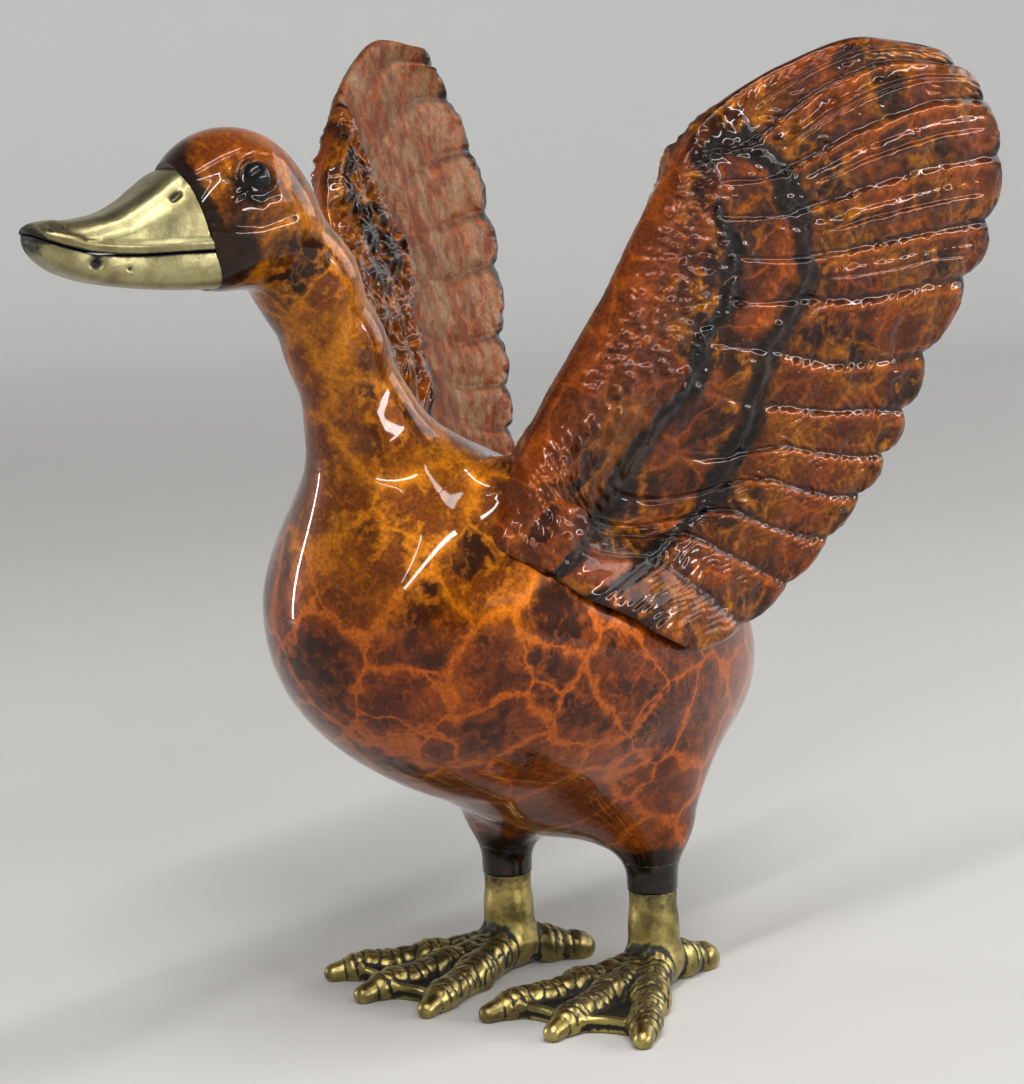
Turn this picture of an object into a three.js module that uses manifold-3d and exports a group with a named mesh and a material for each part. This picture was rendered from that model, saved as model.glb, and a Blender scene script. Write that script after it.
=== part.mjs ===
// A bronze duck standing with its wings raised, in millimetres, +Z up.
// It faces -Y, its left side is +X, and the origin is on the ground under the middle of its box.
// The castings are hollow where a real one is, and each seats on its neighbour with a small gap.
import * as THREE from "three";
import { mergeVertices } from "three/addons/utils/BufferGeometryUtils.js";
import Module from "manifold-3d";

const wasm = await Module();
wasm.setup();

// Driving dimensions, measured from the point on the ground midway between the legs
const shiftBack = 33.4; // the legs stand this far behind the origin
const shiftLeft = -0.9; // and this far to its left
const wall = 4.0; // thickness of the hollow castings
const gap = 0.3; // clearance between seated pieces
const pinGap = 0.25; // clearance round a dowel or rod
const bury = 1.0; // how far a piece that is joined to another is sunk into it before the join

const body = { centre: [0, -14, 74.5], radii: [38, 60, 34.5], frontUp: 12 };
const breast = { centre: [0, -41, 88], radii: [30.5, 32.5, 28] };
const belly = { centre: [0, -1, 53], radii: [21, 25, 20] };
const thigh = { x: 16, y: 3, z: 50, radius: 12, lowZ: 36, lowRadius: 9 };
const neckBase = { y: -47, z: 100, radius: 19 };
const neckLow = { y: -58, z: 124, radius: 10.3 };
const neckMid = { y: -64.5, z: 140, radius: 9.2 };
const neckTop = { y: -71.5, z: 153, radius: 9.2 };
const nape = { y: -80, z: 163, radius: 10 };
const shoulder = { x: 22, y: -36, z: 98, radius: 9, topX: 25, topY: -41, topZ: 113, topRadius: 5 };

const head = { centre: [0, -86, 167.3], turn: 15 }; // turned to its right by so many degrees
const skull = { centre: [0, -3.5, 1.2], radii: [12.2, 15, 13.8] };
const cheek = { centre: [0, -6, -4.5], radii: [10.5, 12.5, 10] };
const neckPlane = { y: -53.5, z: 114.5, pitch: -24.6 }; // where the neck casting meets the torso
const billPlane = { forward: 13.3, slope: 0.3 }; // where the bill meets the head
const eye = { forward: 2.7, up: 5.6, radius: 3.2, proud: 1.2 };

const bill = { tip: 43.6, spigotRadius: 4.2, spigotLength: 8, spigotUp: 0.2, lowerSpigotUp: -10.4 };
// forward of the head's centre: half width, top of the middle, top of the edge, mouth line, underside
const billStations = [
  [8.0, 10.6, 8.6, 6.0, -7.0, -14.2],
  [13.0, 10.2, 8.4, 6.4, -7.0, -14.1],
  [17.3, 9.6, 7.2, 5.6, -7.0, -13.9],
  [20.8, 8.8, 5.0, 3.4, -7.1, -13.6],
  [24.2, 8.2, 2.7, 1.2, -7.1, -13.2],
  [28.7, 7.9, 0.6, -0.9, -6.9, -12.5],
  [33.5, 7.8, -0.3, -2.2, -6.3, -11.4],
  [38.0, 7.2, -0.6, -2.4, -5.1, -9.6],
  [41.2, 5.4, -0.9, -2.2, -3.9, -7.2],
];

const wing = {
  rootY: -44.1,
  rootZ: 114.0,
  edge: 2.4, // thickness along the feather tips
  thick: 3.4, // thickness in the middle of the plate, low down
  tipThick: 3.0, // and high up
  camber: 0.6,
  step: 0.75, // how far a feather rises over the next one
  groove: 0.8, // depth of the gap line between two feathers
  ridge: 0.24, // raised edge beside the gap line
  shaft: 0.36,
  tiles: 0.8, // height of the feathers between the dark bands
  scales: 1.35, // height of the small feathers in front of them
  lumps: 1.5, // height of the rough patch on the inner face
  innerShare: 0.55, // relief of the inner face as a share of the outer one's
  lowTip: 0.6, // how far the rounded feather tips stand out, low down
  highTip: 3.0, // and at the top
  setBack: 0.8, // how far the gaps between two tips lie behind the lines' ends
  sunk: 3.2, // how deep the front edge dips into the flank at the root
  sunkShare: 0.16, // share of the width over which it rises out again
  sunkFrom: -2, // and the heights between which the dip ends
  sunkTo: 22,
  rimShare: 0.045, // share of the width over which the front and rear edges are rounded
  tipShare: 0.18, // share of the width in which the feather tips are rounded
  roughTo: 0.39, // share of the width that the rough patch on the inner face reaches
  highTips: 3, // the feather where the tips start to shrink, counted from the top
  lowTips: 9, // and where they are as small as the lowest
  armHeight: 2.6, // the arm bone under the leading edge swells each face by this much
  armAt: 0.1, // share of the chord where it runs
  armWidth: 0.13,
  clearOfBody: 1.6, // how far the middle of the plate stands off the flank where it lies against it
  easing: 8.0, // how gently it bends away from the flank
};
// From the flank's widest point in to the front corner of the root, degrees that the chord turns
// outward towards the tail, degrees that the wing leans outward, how much higher its tip stands, and
// which way the plate is bent off the flank where they would meet
const wingSides = {
  left: { side: 1, rootInset: 13.0, sweep: 19.6, lean: 15.2, extra: 0, offFlank: [0.66, -0.74, 0.1] },
  right: { side: -1, rootInset: 17.0, sweep: 21.4, lean: 13.8, extra: 6.0, offFlank: [1, 0, 0] },
};
// Lines along the gaps between the feathers, from the leading edge over the two dark bands to the
// trailing edge, as chord towards the tail and span upwards from the front corner of the root
const wingLines = [
  [[31.6, 64], [34, 67.5], [41, 72.9], [52.4, 78.7], [68, 83.4], [86, 81.4]],
  [[28.9, 60.4], [34.6, 63.1], [45.1, 65.1], [58.8, 74], [74.9, 79.3], [93.5, 78]],
  [[26.6, 56.8], [37.5, 57.5], [51.3, 58.6], [68.1, 66.3], [85.8, 71.3], [100.8, 71]],
  [[24.4, 52.6], [38.4, 50.8], [55.9, 50.8], [74.6, 55.6], [90.4, 58.6], [106.4, 59.6]],
  [[22.3, 47.8], [42.5, 42.7], [60.2, 41.5], [76.6, 43.3], [90.8, 45.1], [105.8, 45.8]],
  [[19.9, 42.1], [42.6, 34], [59.3, 32.8], [76, 32], [90.3, 33.6], [102.5, 33.7]],
  [[17.2, 35.7], [38.4, 26.1], [54.3, 22.8], [68.6, 18.9], [81.8, 18.3], [95, 18.1]],
  [[14.3, 29.9], [36.7, 19.1], [53.2, 13.3], [67.3, 8.9], [79.7, 8], [91.4, 6.4]],
  [[11.2, 24.1], [34, 12.1], [52.4, 5.3], [66.5, 0.5], [77.8, -1.8], [87.5, -3]],
  [[8.4, 18.7], [30.8, 5.1], [50.2, -1], [64, -6.9], [74.2, -10], [82.9, -11.4]],
  [[5.8, 13.4], [26.5, -2.2], [44.8, -7.7], [56.5, -13.5], [67.2, -17.9], [76.6, -20.5]],
  [[3.2, 7.6], [21.7, -8.4], [38, -13], [49, -19.3], [58.7, -24.4], [68.1, -30]],
  [[0.6, 1.6], [16.7, -13.4], [32.3, -18.5], [41.5, -24.8], [49.4, -30.8], [57.6, -37.8]],
  [[-4, -12], [11.6, -20.7], [20.5, -26.4], [28.9, -30.6], [36.3, -35.4], [45.5, -41.4]],
];
const linePlaces = [0, 0.27, 0.47, 0.66, 0.83, 1]; // shares of the wing's width at a line's points

const tail = {
  rootY: 27,
  rootZ: 81,
  length: 35,
  rise: 25,
  rootWidth: 26,
  width: 36,
  thick: 15,
  edge: 2.4,
  feathers: 5,
  dowelZ: 80.5,
  dowelSlope: 0.5,
};

const leg = { x: 17.4, stagger: 3.7, radius: 5.2, joinZ: 21, topZ: 44 };
const rod = { radius: 1.6, lowZ: 12, topZ: 38 };
const foot = {
  toeOut: 10, // degrees that the middle toe turns outward
  spread: 26.5, // degrees between two front toes
  leftLength: 42.5, // from the middle of the ankle to the tip of a claw
  rightLength: 40.5,
  backLength: 19,
  leftBackTurn: 2, // degrees from straight back towards +X
  rightBackTurn: 30,
  shankRadius: 4.9, // at its slimmest
  shankZ: 14,
  ankleRadius: 6.2,
  ankleZ: 7,
  knuckle: 4.3,
  tipRadius: 3.0,
  claw: 6,
  heel: 3.8,
  heelTip: 2.8,
  heelClaw: 2.4,
  webThick: 2.6,
  webReach: 0.86, // share of a toe that the web reaches along
  scutes: 6,
  scuteHeight: 0.5,
};
const dowel = { radius: 2.0, inWing: 0.9, inBody: 11, inTail: 4, inRump: 6 };
const wingPegs = [[13, -9], [34, -24]]; // where the dowels stand, in the wing's chord and span
const sleeve = { half: 6, thick: 2.4 };

const bronze = { amber: 0x8a4410, dark: 0x2a1408, brass: 0xb08d3a, black: 0x0a0908, steel: 0x8c8c88 };
function material(color, roughness, metalness) {
  return new THREE.MeshStandardMaterial({ color, roughness, metalness });
}
const patina = material(bronze.amber, 0.25, 0.6);
const darkPatina = material(bronze.dark, 0.3, 0.6);
const brass = material(bronze.brass, 0.3, 1.0);
const gloss = material(bronze.black, 0.1, 0.0);
const steel = material(bronze.steel, 0.4, 1.0);
const cast = material(bronze.amber, 0.5, 1.0);

// Small vector helpers on plain arrays
const add = (a, b, k = 1) => [a[0] + k * b[0], a[1] + k * b[1], a[2] + k * b[2]];
const dot = (a, b) => a[0] * b[0] + a[1] * b[1] + a[2] * b[2];
const cross = (a, b) => [a[1] * b[2] - a[2] * b[1], a[2] * b[0] - a[0] * b[2], a[0] * b[1] - a[1] * b[0]];
const size = (a) => Math.hypot(a[0], a[1], a[2]);
const unit = (a) => a.map((v) => v / size(a));
const mix = (a, b, t) => a + (b - a) * t;
const clamp = (v, low, high) => Math.min(Math.max(v, low), high);
const radians = THREE.MathUtils.degToRad;

// The smooth skin of the body, neck and head as a signed distance field
function blend(a, b, k) {
  const h = clamp(0.5 + (0.5 * (b - a)) / k, 0, 1);
  return mix(b, a, h) - k * h * (1 - h);
}
function ellipsoid(p, centre, radii) {
  const q = add(p, centre, -1);
  const near = size(q.map((v, i) => v / radii[i]));
  const steep = size(q.map((v, i) => v / (radii[i] * radii[i])));
  return (near * (near - 1)) / Math.max(steep, 1e-9);
}
function roundCone(p, a, b, ra, rb) {
  const d = add(b, a, -1);
  const t = clamp(dot(add(p, a, -1), d) / dot(d, d), 0, 1);
  return size(add(add(p, a, -1), d, -t)) - mix(ra, rb, t);
}
const turn = radians(head.turn);
const headForward = [-Math.sin(turn), -Math.cos(turn), 0];
const headLeft = [Math.cos(turn), -Math.sin(turn), 0];
const upward = [0, 0, 1];
function inHead(p) {
  const q = add(p, head.centre, -1);
  return [dot(q, headLeft), -dot(q, headForward), q[2]];
}
function fromHead(x, forward, z) {
  return add(add(add(head.centre, headLeft, x), headForward, forward), upward, z);
}
function tilted(p, centre, degrees) {
  const q = add(p, centre, -1);
  const c = Math.cos(radians(degrees));
  const s = Math.sin(radians(degrees));
  return [q[0], q[1] * c - q[2] * s, q[1] * s + q[2] * c];
}
function skin(p, limbs = true) {
  let d = blend(
    ellipsoid(tilted(p, body.centre, body.frontUp), [0, 0, 0], body.radii),
    ellipsoid(p, breast.centre, breast.radii),
    10,
  );
  d = blend(d, ellipsoid(p, belly.centre, belly.radii), 14);
  for (const side of limbs ? [1, -1] : []) {
    const high = [side * thigh.x, side * thigh.y - 2, thigh.z];
    const low = [side * leg.x, side * leg.stagger, thigh.lowZ];
    d = blend(d, roundCone(p, high, low, thigh.radius, thigh.lowRadius), 12);
    const root = [side * shoulder.x, shoulder.y, shoulder.z];
    const top = [side * shoulder.topX, shoulder.topY, shoulder.topZ];
    d = blend(d, roundCone(p, root, top, shoulder.radius, shoulder.topRadius), 8);
  }
  const spine = [neckBase, neckLow, neckMid, neckTop].map((n) => [0, n.y, n.z]);
  let n = roundCone(p, spine[0], spine[1], neckBase.radius, neckLow.radius);
  n = blend(n, roundCone(p, spine[1], spine[2], neckLow.radius, neckMid.radius), 4);
  n = blend(n, roundCone(p, spine[2], spine[3], neckMid.radius, neckTop.radius), 3);
  d = blend(d, n, 18);
  const q = inHead(p);
  let h = blend(ellipsoid(q, skull.centre, skull.radii), ellipsoid(q, cheek.centre, cheek.radii), 5);
  h = blend(h, roundCone(p, spine[3], [0, nape.y, nape.z], neckTop.radius, nape.radius), 5);
  return blend(d, h, 4);
}
// The first point along a ray where the skin's distance passes a level
function reach(from, direction, level = 0, limbs = true) {
  let t = 0;
  for (let i = 0; i < 120; i++) {
    const v = skin(add(from, direction, t), limbs) - level;
    if (v > -1e-4) break;
    t += clamp(-v * 0.9, 0.01, 8);
  }
  return add(from, direction, t);
}

// The direction straight off the skin at a point
function offSkin(p) {
  const step = 0.5;
  const rise = (axis) => skin(add(p, axis, step)) - skin(add(p, axis, -step));
  return unit([rise([1, 0, 0]), rise([0, 1, 0]), rise([0, 0, 1])]);
}

// Closed meshes and solids
function ringMesh(rings) {
  const positions = [];
  const index = [];
  const m = rings[0].length;
  for (const ring of rings) for (const p of ring) positions.push(...p);
  for (let i = 0; i + 1 < rings.length; i++)
    for (let j = 0; j < m; j++) {
      const k = (j + 1) % m;
      index.push(i * m + j, i * m + k, (i + 1) * m + k, i * m + j, (i + 1) * m + k, (i + 1) * m + j);
    }
  for (const [row, flip] of [[0, true], [rings.length - 1, false]]) {
    const middle = rings[row].reduce((s, p) => add(s, p, 1 / m), [0, 0, 0]);
    const c = positions.length / 3;
    positions.push(...middle);
    for (let j = 0; j < m; j++) {
      const k = (j + 1) % m;
      index.push(c, row * m + (flip ? k : j), row * m + (flip ? j : k));
    }
  }
  const geometry = new THREE.BufferGeometry();
  geometry.setAttribute("position", new THREE.Float32BufferAttribute(positions, 3));
  geometry.setIndex(index);
  return geometry;
}
function solid(geometry) {
  const bare = geometry.clone();
  bare.deleteAttribute("normal");
  bare.deleteAttribute("uv");
  const merged = mergeVertices(bare, 1e-4);
  const vertProperties = new Float32Array(merged.attributes.position.array);
  const triVerts = new Uint32Array(merged.index.array);
  let volume = 0;
  const at = (i) => [...vertProperties.subarray(i * 3, i * 3 + 3)];
  for (let i = 0; i < triVerts.length; i += 3) {
    const [a, b, c] = [at(triVerts[i]), at(triVerts[i + 1]), at(triVerts[i + 2])];
    volume += dot(a, cross(b, c));
  }
  if (volume < 0)
    for (let i = 0; i < triVerts.length; i += 3)
      [triVerts[i + 1], triVerts[i + 2]] = [triVerts[i + 2], triVerts[i + 1]];
  return new wasm.Manifold(new wasm.Mesh({ numProp: 3, vertProperties, triVerts }));
}
function geometryOf(manifold) {
  const mesh = manifold.getMesh();
  const geometry = new THREE.BufferGeometry();
  geometry.setAttribute("position", new THREE.BufferAttribute(mesh.vertProperties, 3));
  geometry.setIndex(new THREE.BufferAttribute(mesh.triVerts, 1));
  geometry.computeVertexNormals();
  return geometry;
}
function placed(geometry, position, axis = [0, 0, 1]) {
  const along = new THREE.Vector3(...unit(axis));
  geometry.applyQuaternion(new THREE.Quaternion().setFromUnitVectors(new THREE.Vector3(0, 1, 0), along));
  geometry.translate(...position);
  return solid(geometry);
}
const rodSolid = (radius, length, centre, axis, sides = 16) =>
  placed(new THREE.CylinderGeometry(radius, radius, length, sides), centre, axis);
const ballSolid = (radius, centre) => placed(new THREE.SphereGeometry(radius, 14, 10), centre);
const wingHeight = Math.max(...wingLines.flat().map((p) => p[1]));
const beyond = 2 * (wingHeight + wing.rootZ); // edge of a cutting block that is larger than the duck
function halfSpace(point, normal) {
  return placed(new THREE.BoxGeometry(beyond, beyond, beyond), add(point, unit(normal), beyond / 2), normal);
}

const duck = new THREE.Group();
duck.position.set(shiftLeft, shiftBack, 0);
function addPiece(name, manifold, finish) {
  const mesh = new THREE.Mesh(geometryOf(manifold), finish);
  mesh.name = name;
  duck.add(mesh);
}

// Torso: a hollow egg with the stubs of the neck, shoulders and thighs
const torsoHeart = [0, -16, 76];
function torsoSkin(level, rows, columns, limbs = true) {
  const rings = [];
  for (let i = 0; i < rows; i++) {
    const polar = mix(0.05, Math.PI - 0.05, i / (rows - 1));
    rings.push(
      Array.from({ length: columns }, (_, j) => {
        const a = (2 * Math.PI * j) / columns;
        const direction = [Math.sin(polar) * Math.cos(a), -Math.cos(polar), Math.sin(polar) * Math.sin(a)];
        return reach(torsoHeart, direction, level, limbs);
      }),
    );
  }
  return solid(ringMesh(rings));
}
const neckPoint = [0, neckPlane.y, neckPlane.z];
const neckFront = [0, -Math.cos(radians(neckPlane.pitch)), Math.sin(radians(neckPlane.pitch))];
const neckAxis = [0, neckFront[2], -neckFront[1]];
const aboveNeck = halfSpace(add(neckPoint, neckAxis, -gap / 2), neckAxis);
const torsoRows = 28;
const torsoColumns = 34;
const torsoOuter = torsoSkin(0, torsoRows, torsoColumns).subtract(aboveNeck);
const torsoSeat = torsoSkin(gap, torsoRows, torsoColumns).subtract(aboveNeck);
let torso = torsoOuter.subtract(torsoSkin(-wall, torsoRows / 2, torsoColumns / 2, false));

// Neck and head: one hollow casting, its cross sections fanned round the throat
const stations = [];
const station = (c, pitch, yaw = 0) => stations.push({ c, pitch, yaw });
const alongSpine = (t) => [0, mix(neckPlane.y, neckLow.y, t), mix(neckPlane.z, neckLow.z, t)];
station(alongSpine(0), neckPlane.pitch);
station(alongSpine(0.5), -24.5);
station([0, neckLow.y, neckLow.z], -24);
station([0, (neckLow.y + neckMid.y) / 2, (neckLow.z + neckMid.z) / 2], -22);
station([0, neckMid.y, neckMid.z], -18);
station([0, (neckMid.y + neckTop.y) / 2, (neckMid.z + neckTop.z) / 2], -13);
const throat = fromHead(0, 2.5, -18);
const fanned = (c, yaw) => {
  const d = add(throat, c, -1);
  const forward = d[0] * headForward[0] + d[1] * headForward[1];
  station(c, THREE.MathUtils.radToDeg(Math.atan2(d[2], forward)), yaw);
};
fanned([0, neckTop.y, neckTop.z], 0);
fanned([0, mix(neckTop.y, nape.y, 0.5), mix(neckTop.z, nape.z, 0.55)], 0.25);
fanned(fromHead(0, -6, -3), 0.5);
fanned(fromHead(0, -2.5, 0), 0.8);
fanned(fromHead(0, 0.5, 0.5), 1);
station(fromHead(0, 4, 0), -96, 1);
station(fromHead(0, 7.5, 0), -102, 1);
station(fromHead(0, 10.5, 0), -106.7, 1);
station(fromHead(0, billPlane.forward, 0), -106.7, 1);
function neckRings(level, from, to, columns) {
  return stations.slice(from, to).map(({ c, pitch, yaw }) => {
    const y = turn * yaw;
    const side = [Math.cos(y), -Math.sin(y), 0];
    const ahead = [-Math.sin(y), -Math.cos(y), 0];
    const front = add(ahead.map((v) => v * Math.cos(radians(pitch))), upward, Math.sin(radians(pitch)));
    return Array.from({ length: columns }, (_, j) => {
      const a = (2 * Math.PI * j) / columns;
      return reach(c, add(side.map((v) => v * Math.cos(a)), front, Math.sin(a)), level);
    });
  });
}
let neckAndHead = solid(ringMesh(neckRings(0, 0, stations.length, 26)));
neckAndHead = neckAndHead.subtract(halfSpace(add(neckPoint, neckAxis, gap / 2), neckAxis.map((v) => -v)));
const hollowTop = 7; // the hollow ends at this cross section, inside the top of the neck
const hollow = neckRings(-wall, 0, hollowTop, 14);
hollow.unshift(hollow[0].map((p) => add(p, neckAxis, -2 * bury)));
neckAndHead = neckAndHead.subtract(solid(ringMesh(hollow)));

// The sleeve that backs the neck joint from inside
const sleeveLevel = -wall - gap - 0.2;
const sleeveAt = (offset, level) => {
  const c = add(neckPoint, neckAxis, offset);
  return Array.from({ length: 20 }, (_, j) => {
    const a = (2 * Math.PI * j) / 20;
    return reach(c, add([Math.cos(a), 0, 0], neckFront, Math.sin(a)), level);
  });
};
const sleeveSteps = [-sleeve.half, 0, sleeve.half];
const sleeveOuter = solid(ringMesh(sleeveSteps.map((s) => sleeveAt(s, sleeveLevel))));
const longer = sleeveSteps.map((s) => s * 1.2);
const sleeveBore = solid(ringMesh(longer.map((s) => sleeveAt(s, sleeveLevel - sleeve.thick))));
const sleeveSeat = solid(ringMesh(longer.map((s) => sleeveAt(s, sleeveLevel + gap))));
torso = torso.subtract(sleeveSeat);
neckAndHead = neckAndHead.subtract(sleeveSeat);
addPiece("neck_sleeve", sleeveOuter.subtract(sleeveBore), cast);

// Bill: two halves that meet on the mouth line, each let into the head by a round spigot
function billRing(row, upper) {
  const [forward, half, top, edgeTop, mouth, under] = row;
  const points = [];
  const seam = gap / 2;
  const steps = 8;
  for (let i = 0; i <= steps; i++) {
    const a = (Math.PI * i) / steps;
    const x = Math.cos(a);
    const bow = Math.sin(a);
    const wide = Math.sign(x) * half * Math.pow(Math.abs(x), 0.55);
    if (upper) {
      const crest = mix(edgeTop, top, Math.pow(bow, 3));
      points.push([wide, forward, mouth + seam + (crest - mouth - seam) * Math.pow(bow, 0.45)]);
    } else points.push([wide * 0.97, forward, mouth - seam + (under - mouth + seam) * Math.pow(bow, 0.6)]);
  }
  return points.map(([x, f, z]) => fromHead(x, f, z));
}
function billHalf(upper) {
  const rings = billStations.map((row) => billRing(row, upper));
  const last = billStations[billStations.length - 1];
  const tipTop = mix(last[4], last[2], 0.6);
  const tip = [bill.tip, last[1] * 0.45, tipTop, tipTop - 0.4, last[4] + 0.5, mix(last[4], last[5], 0.45)];
  rings.push(billRing(tip, upper));
  return solid(ringMesh(rings));
}
const billNormal = unit(add(headForward, upward, -billPlane.slope));
const billSeat = fromHead(0, billPlane.forward, 0);
const behindBill = halfSpace(add(billSeat, billNormal, gap), billNormal.map((v) => -v));
for (const upper of [true, false]) {
  const name = upper ? "upper_bill" : "lower_bill";
  const height = upper ? bill.spigotUp : bill.lowerSpigotUp;
  const radius = upper ? bill.spigotRadius : bill.spigotRadius * 0.6;
  const root = fromHead(0, billPlane.forward + billPlane.slope * height + bury, height);
  const along = add(root, headForward, -bill.spigotLength / 2);
  const spigot = rodSolid(radius, bill.spigotLength, along, headForward);
  const bore = rodSolid(radius + pinGap, bill.spigotLength + 2 * pinGap, along, headForward);
  neckAndHead = neckAndHead.subtract(bore);
  addPiece(name, billHalf(upper).subtract(behindBill).add(spigot), brass);
}

// Eyes: glossy beads let into round sockets
for (const [name, side] of [["left_eye", 1], ["right_eye", -1]]) {
  const from = fromHead(0, eye.forward, eye.up);
  const surface = reach(from, headLeft.map((v) => v * side));
  const centre = add(surface, headLeft, -side * (eye.radius - eye.proud));
  neckAndHead = neckAndHead.subtract(ballSolid(eye.radius + gap, centre));
  addPiece(name, ballSolid(eye.radius, centre), gloss);
}
addPiece("neck_and_head", neckAndHead, patina);

// Wings: a cambered plate of overlapping feathers with an arm along its leading edge
const spline = (points) => new THREE.SplineCurve(points.map((p) => new THREE.Vector2(...p)));
const crossCurves = linePlaces.map((_, k) => spline(wingLines.map((line) => line[k])));
const feathers = wingLines.length - 1;
const feather = (t) => t - Math.min(Math.floor(t), feathers - 1);
const smooth = THREE.MathUtils.smoothstep;
// The outline point at share u of the wing's width and feather t, with rounded feather tips
function planform(u, t) {
  const line = spline(crossCurves.map((curve) => curve.getPoint(t / feathers).toArray()));
  const k = clamp(linePlaces.findIndex((place) => place >= u), 1, linePlaces.length - 1);
  const place = k - 1 + (u - linePlaces[k - 1]) / (linePlaces[k] - linePlaces[k - 1]);
  const p = line.getPoint(place / (linePlaces.length - 1));
  const tangent = crossCurves[crossCurves.length - 1].getTangent(t / feathers);
  const round = 1 - Math.abs(2 * feather(t) - 1) ** 2.6;
  const tip = round * mix(wing.highTip, wing.lowTip, smooth(t, wing.highTips, wing.lowTips)) - wing.setBack;
  const ease = smooth(u, 1 - wing.tipShare, 1) * tip;
  return new THREE.Vector2(p.x - tangent.y * ease, p.y + tangent.x * ease);
}
const featherColumns = [0, 0.1, 0.48, 0.9];
const [band2, band1] = linePlaces.slice(1, 3);
const chordRows = [0, 0.05, 0.12, 0.19, band2 - 0.01, band2 + 0.02, wing.roughTo, band1 - 0.01, band1 + 0.02];
chordRows.push(0.6, 0.74, 0.85, 0.94, 1);
const coverShare = 0.6; // relief between the dark bands as a share of the long feathers'
function relief(u, t, outer) {
  const f = feather(t);
  const column = featherColumns.findIndex((c) => Math.abs(c - f) < 1e-6);
  const inGap = column <= 0 ? 1 : 0;
  const step = wing.step * (1 - f) ** 0.8;
  const edge = column === 1 ? wing.ridge : 0;
  if (!outer) return u <= wing.roughTo ? wing.lumps : step * 1.1 - wing.groove * inGap + edge / 2;
  if (u < band2) return wing.scales;
  if (u < band1) return wing.tiles + coverShare * (step - wing.groove * inGap) + edge / 2;
  return step - wing.groove * inGap + edge + (column === 2 ? wing.shaft : 0);
}
// A point moved along a direction until it stands a given height off the skin, with an eased start
function pushedTo(p, direction, height) {
  const wanted = -blend(-skin(p), -height, wing.easing);
  let t = 0;
  for (let i = 0; i < 60; i++) {
    const short = wanted - skin(add(p, direction, t));
    if (short < 1e-3) break;
    t += short * 0.8;
  }
  return add(p, direction, t);
}
function wingPiece({ side, rootInset, sweep, lean, extra, offFlank }) {
  const turned = radians(sweep);
  const leaning = radians(lean);
  const chord = [Math.sin(turned), Math.cos(turned), 0];
  const flat = [Math.cos(turned), -Math.sin(turned), 0];
  const span = add(flat.map((v) => v * Math.sin(leaning)), upward, Math.cos(leaning));
  const outward = add(flat.map((v) => v * Math.cos(leaning)), upward, -Math.sin(leaning));
  const flank = reach(torsoHeart, [1, 0, 0])[0];
  const root = [flank - rootInset, wing.rootY, wing.rootZ];
  const mirrored = (q) => [side * q[0], q[1], q[2]];
  // A point of the plate's middle surface, which lies against the flank low down
  const middle = ([x, y], lift = 0) => {
    const high = extra * clamp(y / wingHeight, 0, 1) ** 2;
    const q = add(add(add(root, chord, x), span, y + high), outward, lift);
    return pushedTo(q, unit(offFlank), wing.clearOfBody);
  };
  const columns = [];
  for (let i = 0; i < feathers; i++) for (const f of featherColumns) columns.push(i + f);
  columns.push(feathers);
  const sheet = (face) =>
    columns.map((t) =>
      chordRows.map((u) => {
        const p = planform(u, t);
        const reachUp = clamp(p.y / wingHeight, 0, 1);
        const flatHalf = mix(mix(wing.thick, wing.tipThick, reachUp), wing.edge, clamp(u * 1.25, 0, 1)) / 2;
        const armShare = 1 - smooth(p.y, 0, wingLines[0][0][1]);
        const arm = wing.armHeight * armShare * Math.exp(-(((u - wing.armAt) / wing.armWidth) ** 2));
        const inward = Math.min(Math.min(u, 1 - u) / wing.rimShare, Math.min(t, feathers - t) * 2);
        const rim = mix(0.25, 1, Math.sqrt(clamp(inward, 0, 1)));
        const bow = wing.camber * 4 * u * (1 - u);
        const share = (face > 0 ? 1 : wing.innerShare) * clamp(u / wing.armAt, 0.15, 1);
        const raised = share * relief(u, t, face > 0);
        const low = 1 - smooth(p.y, wing.sunkFrom, wing.sunkTo);
        const sunk = wing.sunk * low * (1 - smooth(u, 0, wing.sunkShare));
        const lift = face * (flatHalf + arm + raised) * rim - sunk;
        return mirrored(add(middle([p.x, p.y], bow), outward, lift));
      }),
    );
  const [front, back] = [sheet(1), sheet(-1)];
  const rings = front.map((row, i) => [...row, ...[...back[i]].reverse()]);
  const pegs = wingPegs.map((p) => ({ at: mirrored(middle(p)), axis: mirrored(offSkin(middle(p))) }));
  return { shape: solid(ringMesh(rings)), pegs };
}
function tube(points, radii, sides = 12) {
  const rings = points.map((p, i) => {
    const before = points[Math.max(i - 1, 0)];
    const after = points[Math.min(i + 1, points.length - 1)];
    const axis = unit(add(after, before, -1));
    const helper = Math.abs(axis[0]) < 0.8 ? [1, 0, 0] : [0, 1, 0];
    const a = unit(add(helper, axis, -dot(helper, axis)));
    const b = cross(axis, a);
    return Array.from({ length: sides }, (_, j) => {
      const w = (2 * Math.PI * j) / sides;
      return add(add(p, a, radii[i] * Math.cos(w)), b, radii[i] * Math.sin(w));
    });
  });
  return solid(ringMesh(rings));
}
for (const [name, values] of Object.entries(wingSides)) {
  const { shape, pegs } = wingPiece(values);
  let piece = shape.subtract(torsoSeat);
  for (const [i, place] of ["front", "rear"].entries()) {
    const { at, axis } = pegs[i];
    const length = dowel.inWing + dowel.inBody;
    const middle = add(at, axis, (dowel.inWing - dowel.inBody) / 2);
    const hole = rodSolid(dowel.radius + pinGap, length + 2 * pinGap, middle, axis, 12);
    piece = piece.subtract(hole);
    torso = torso.subtract(hole);
    addPiece(`${name}_wing_dowel_${place}`, rodSolid(dowel.radius, length, middle, axis, 12), steel);
  }
  addPiece(`${name}_wing`, piece, patina);
}

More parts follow.
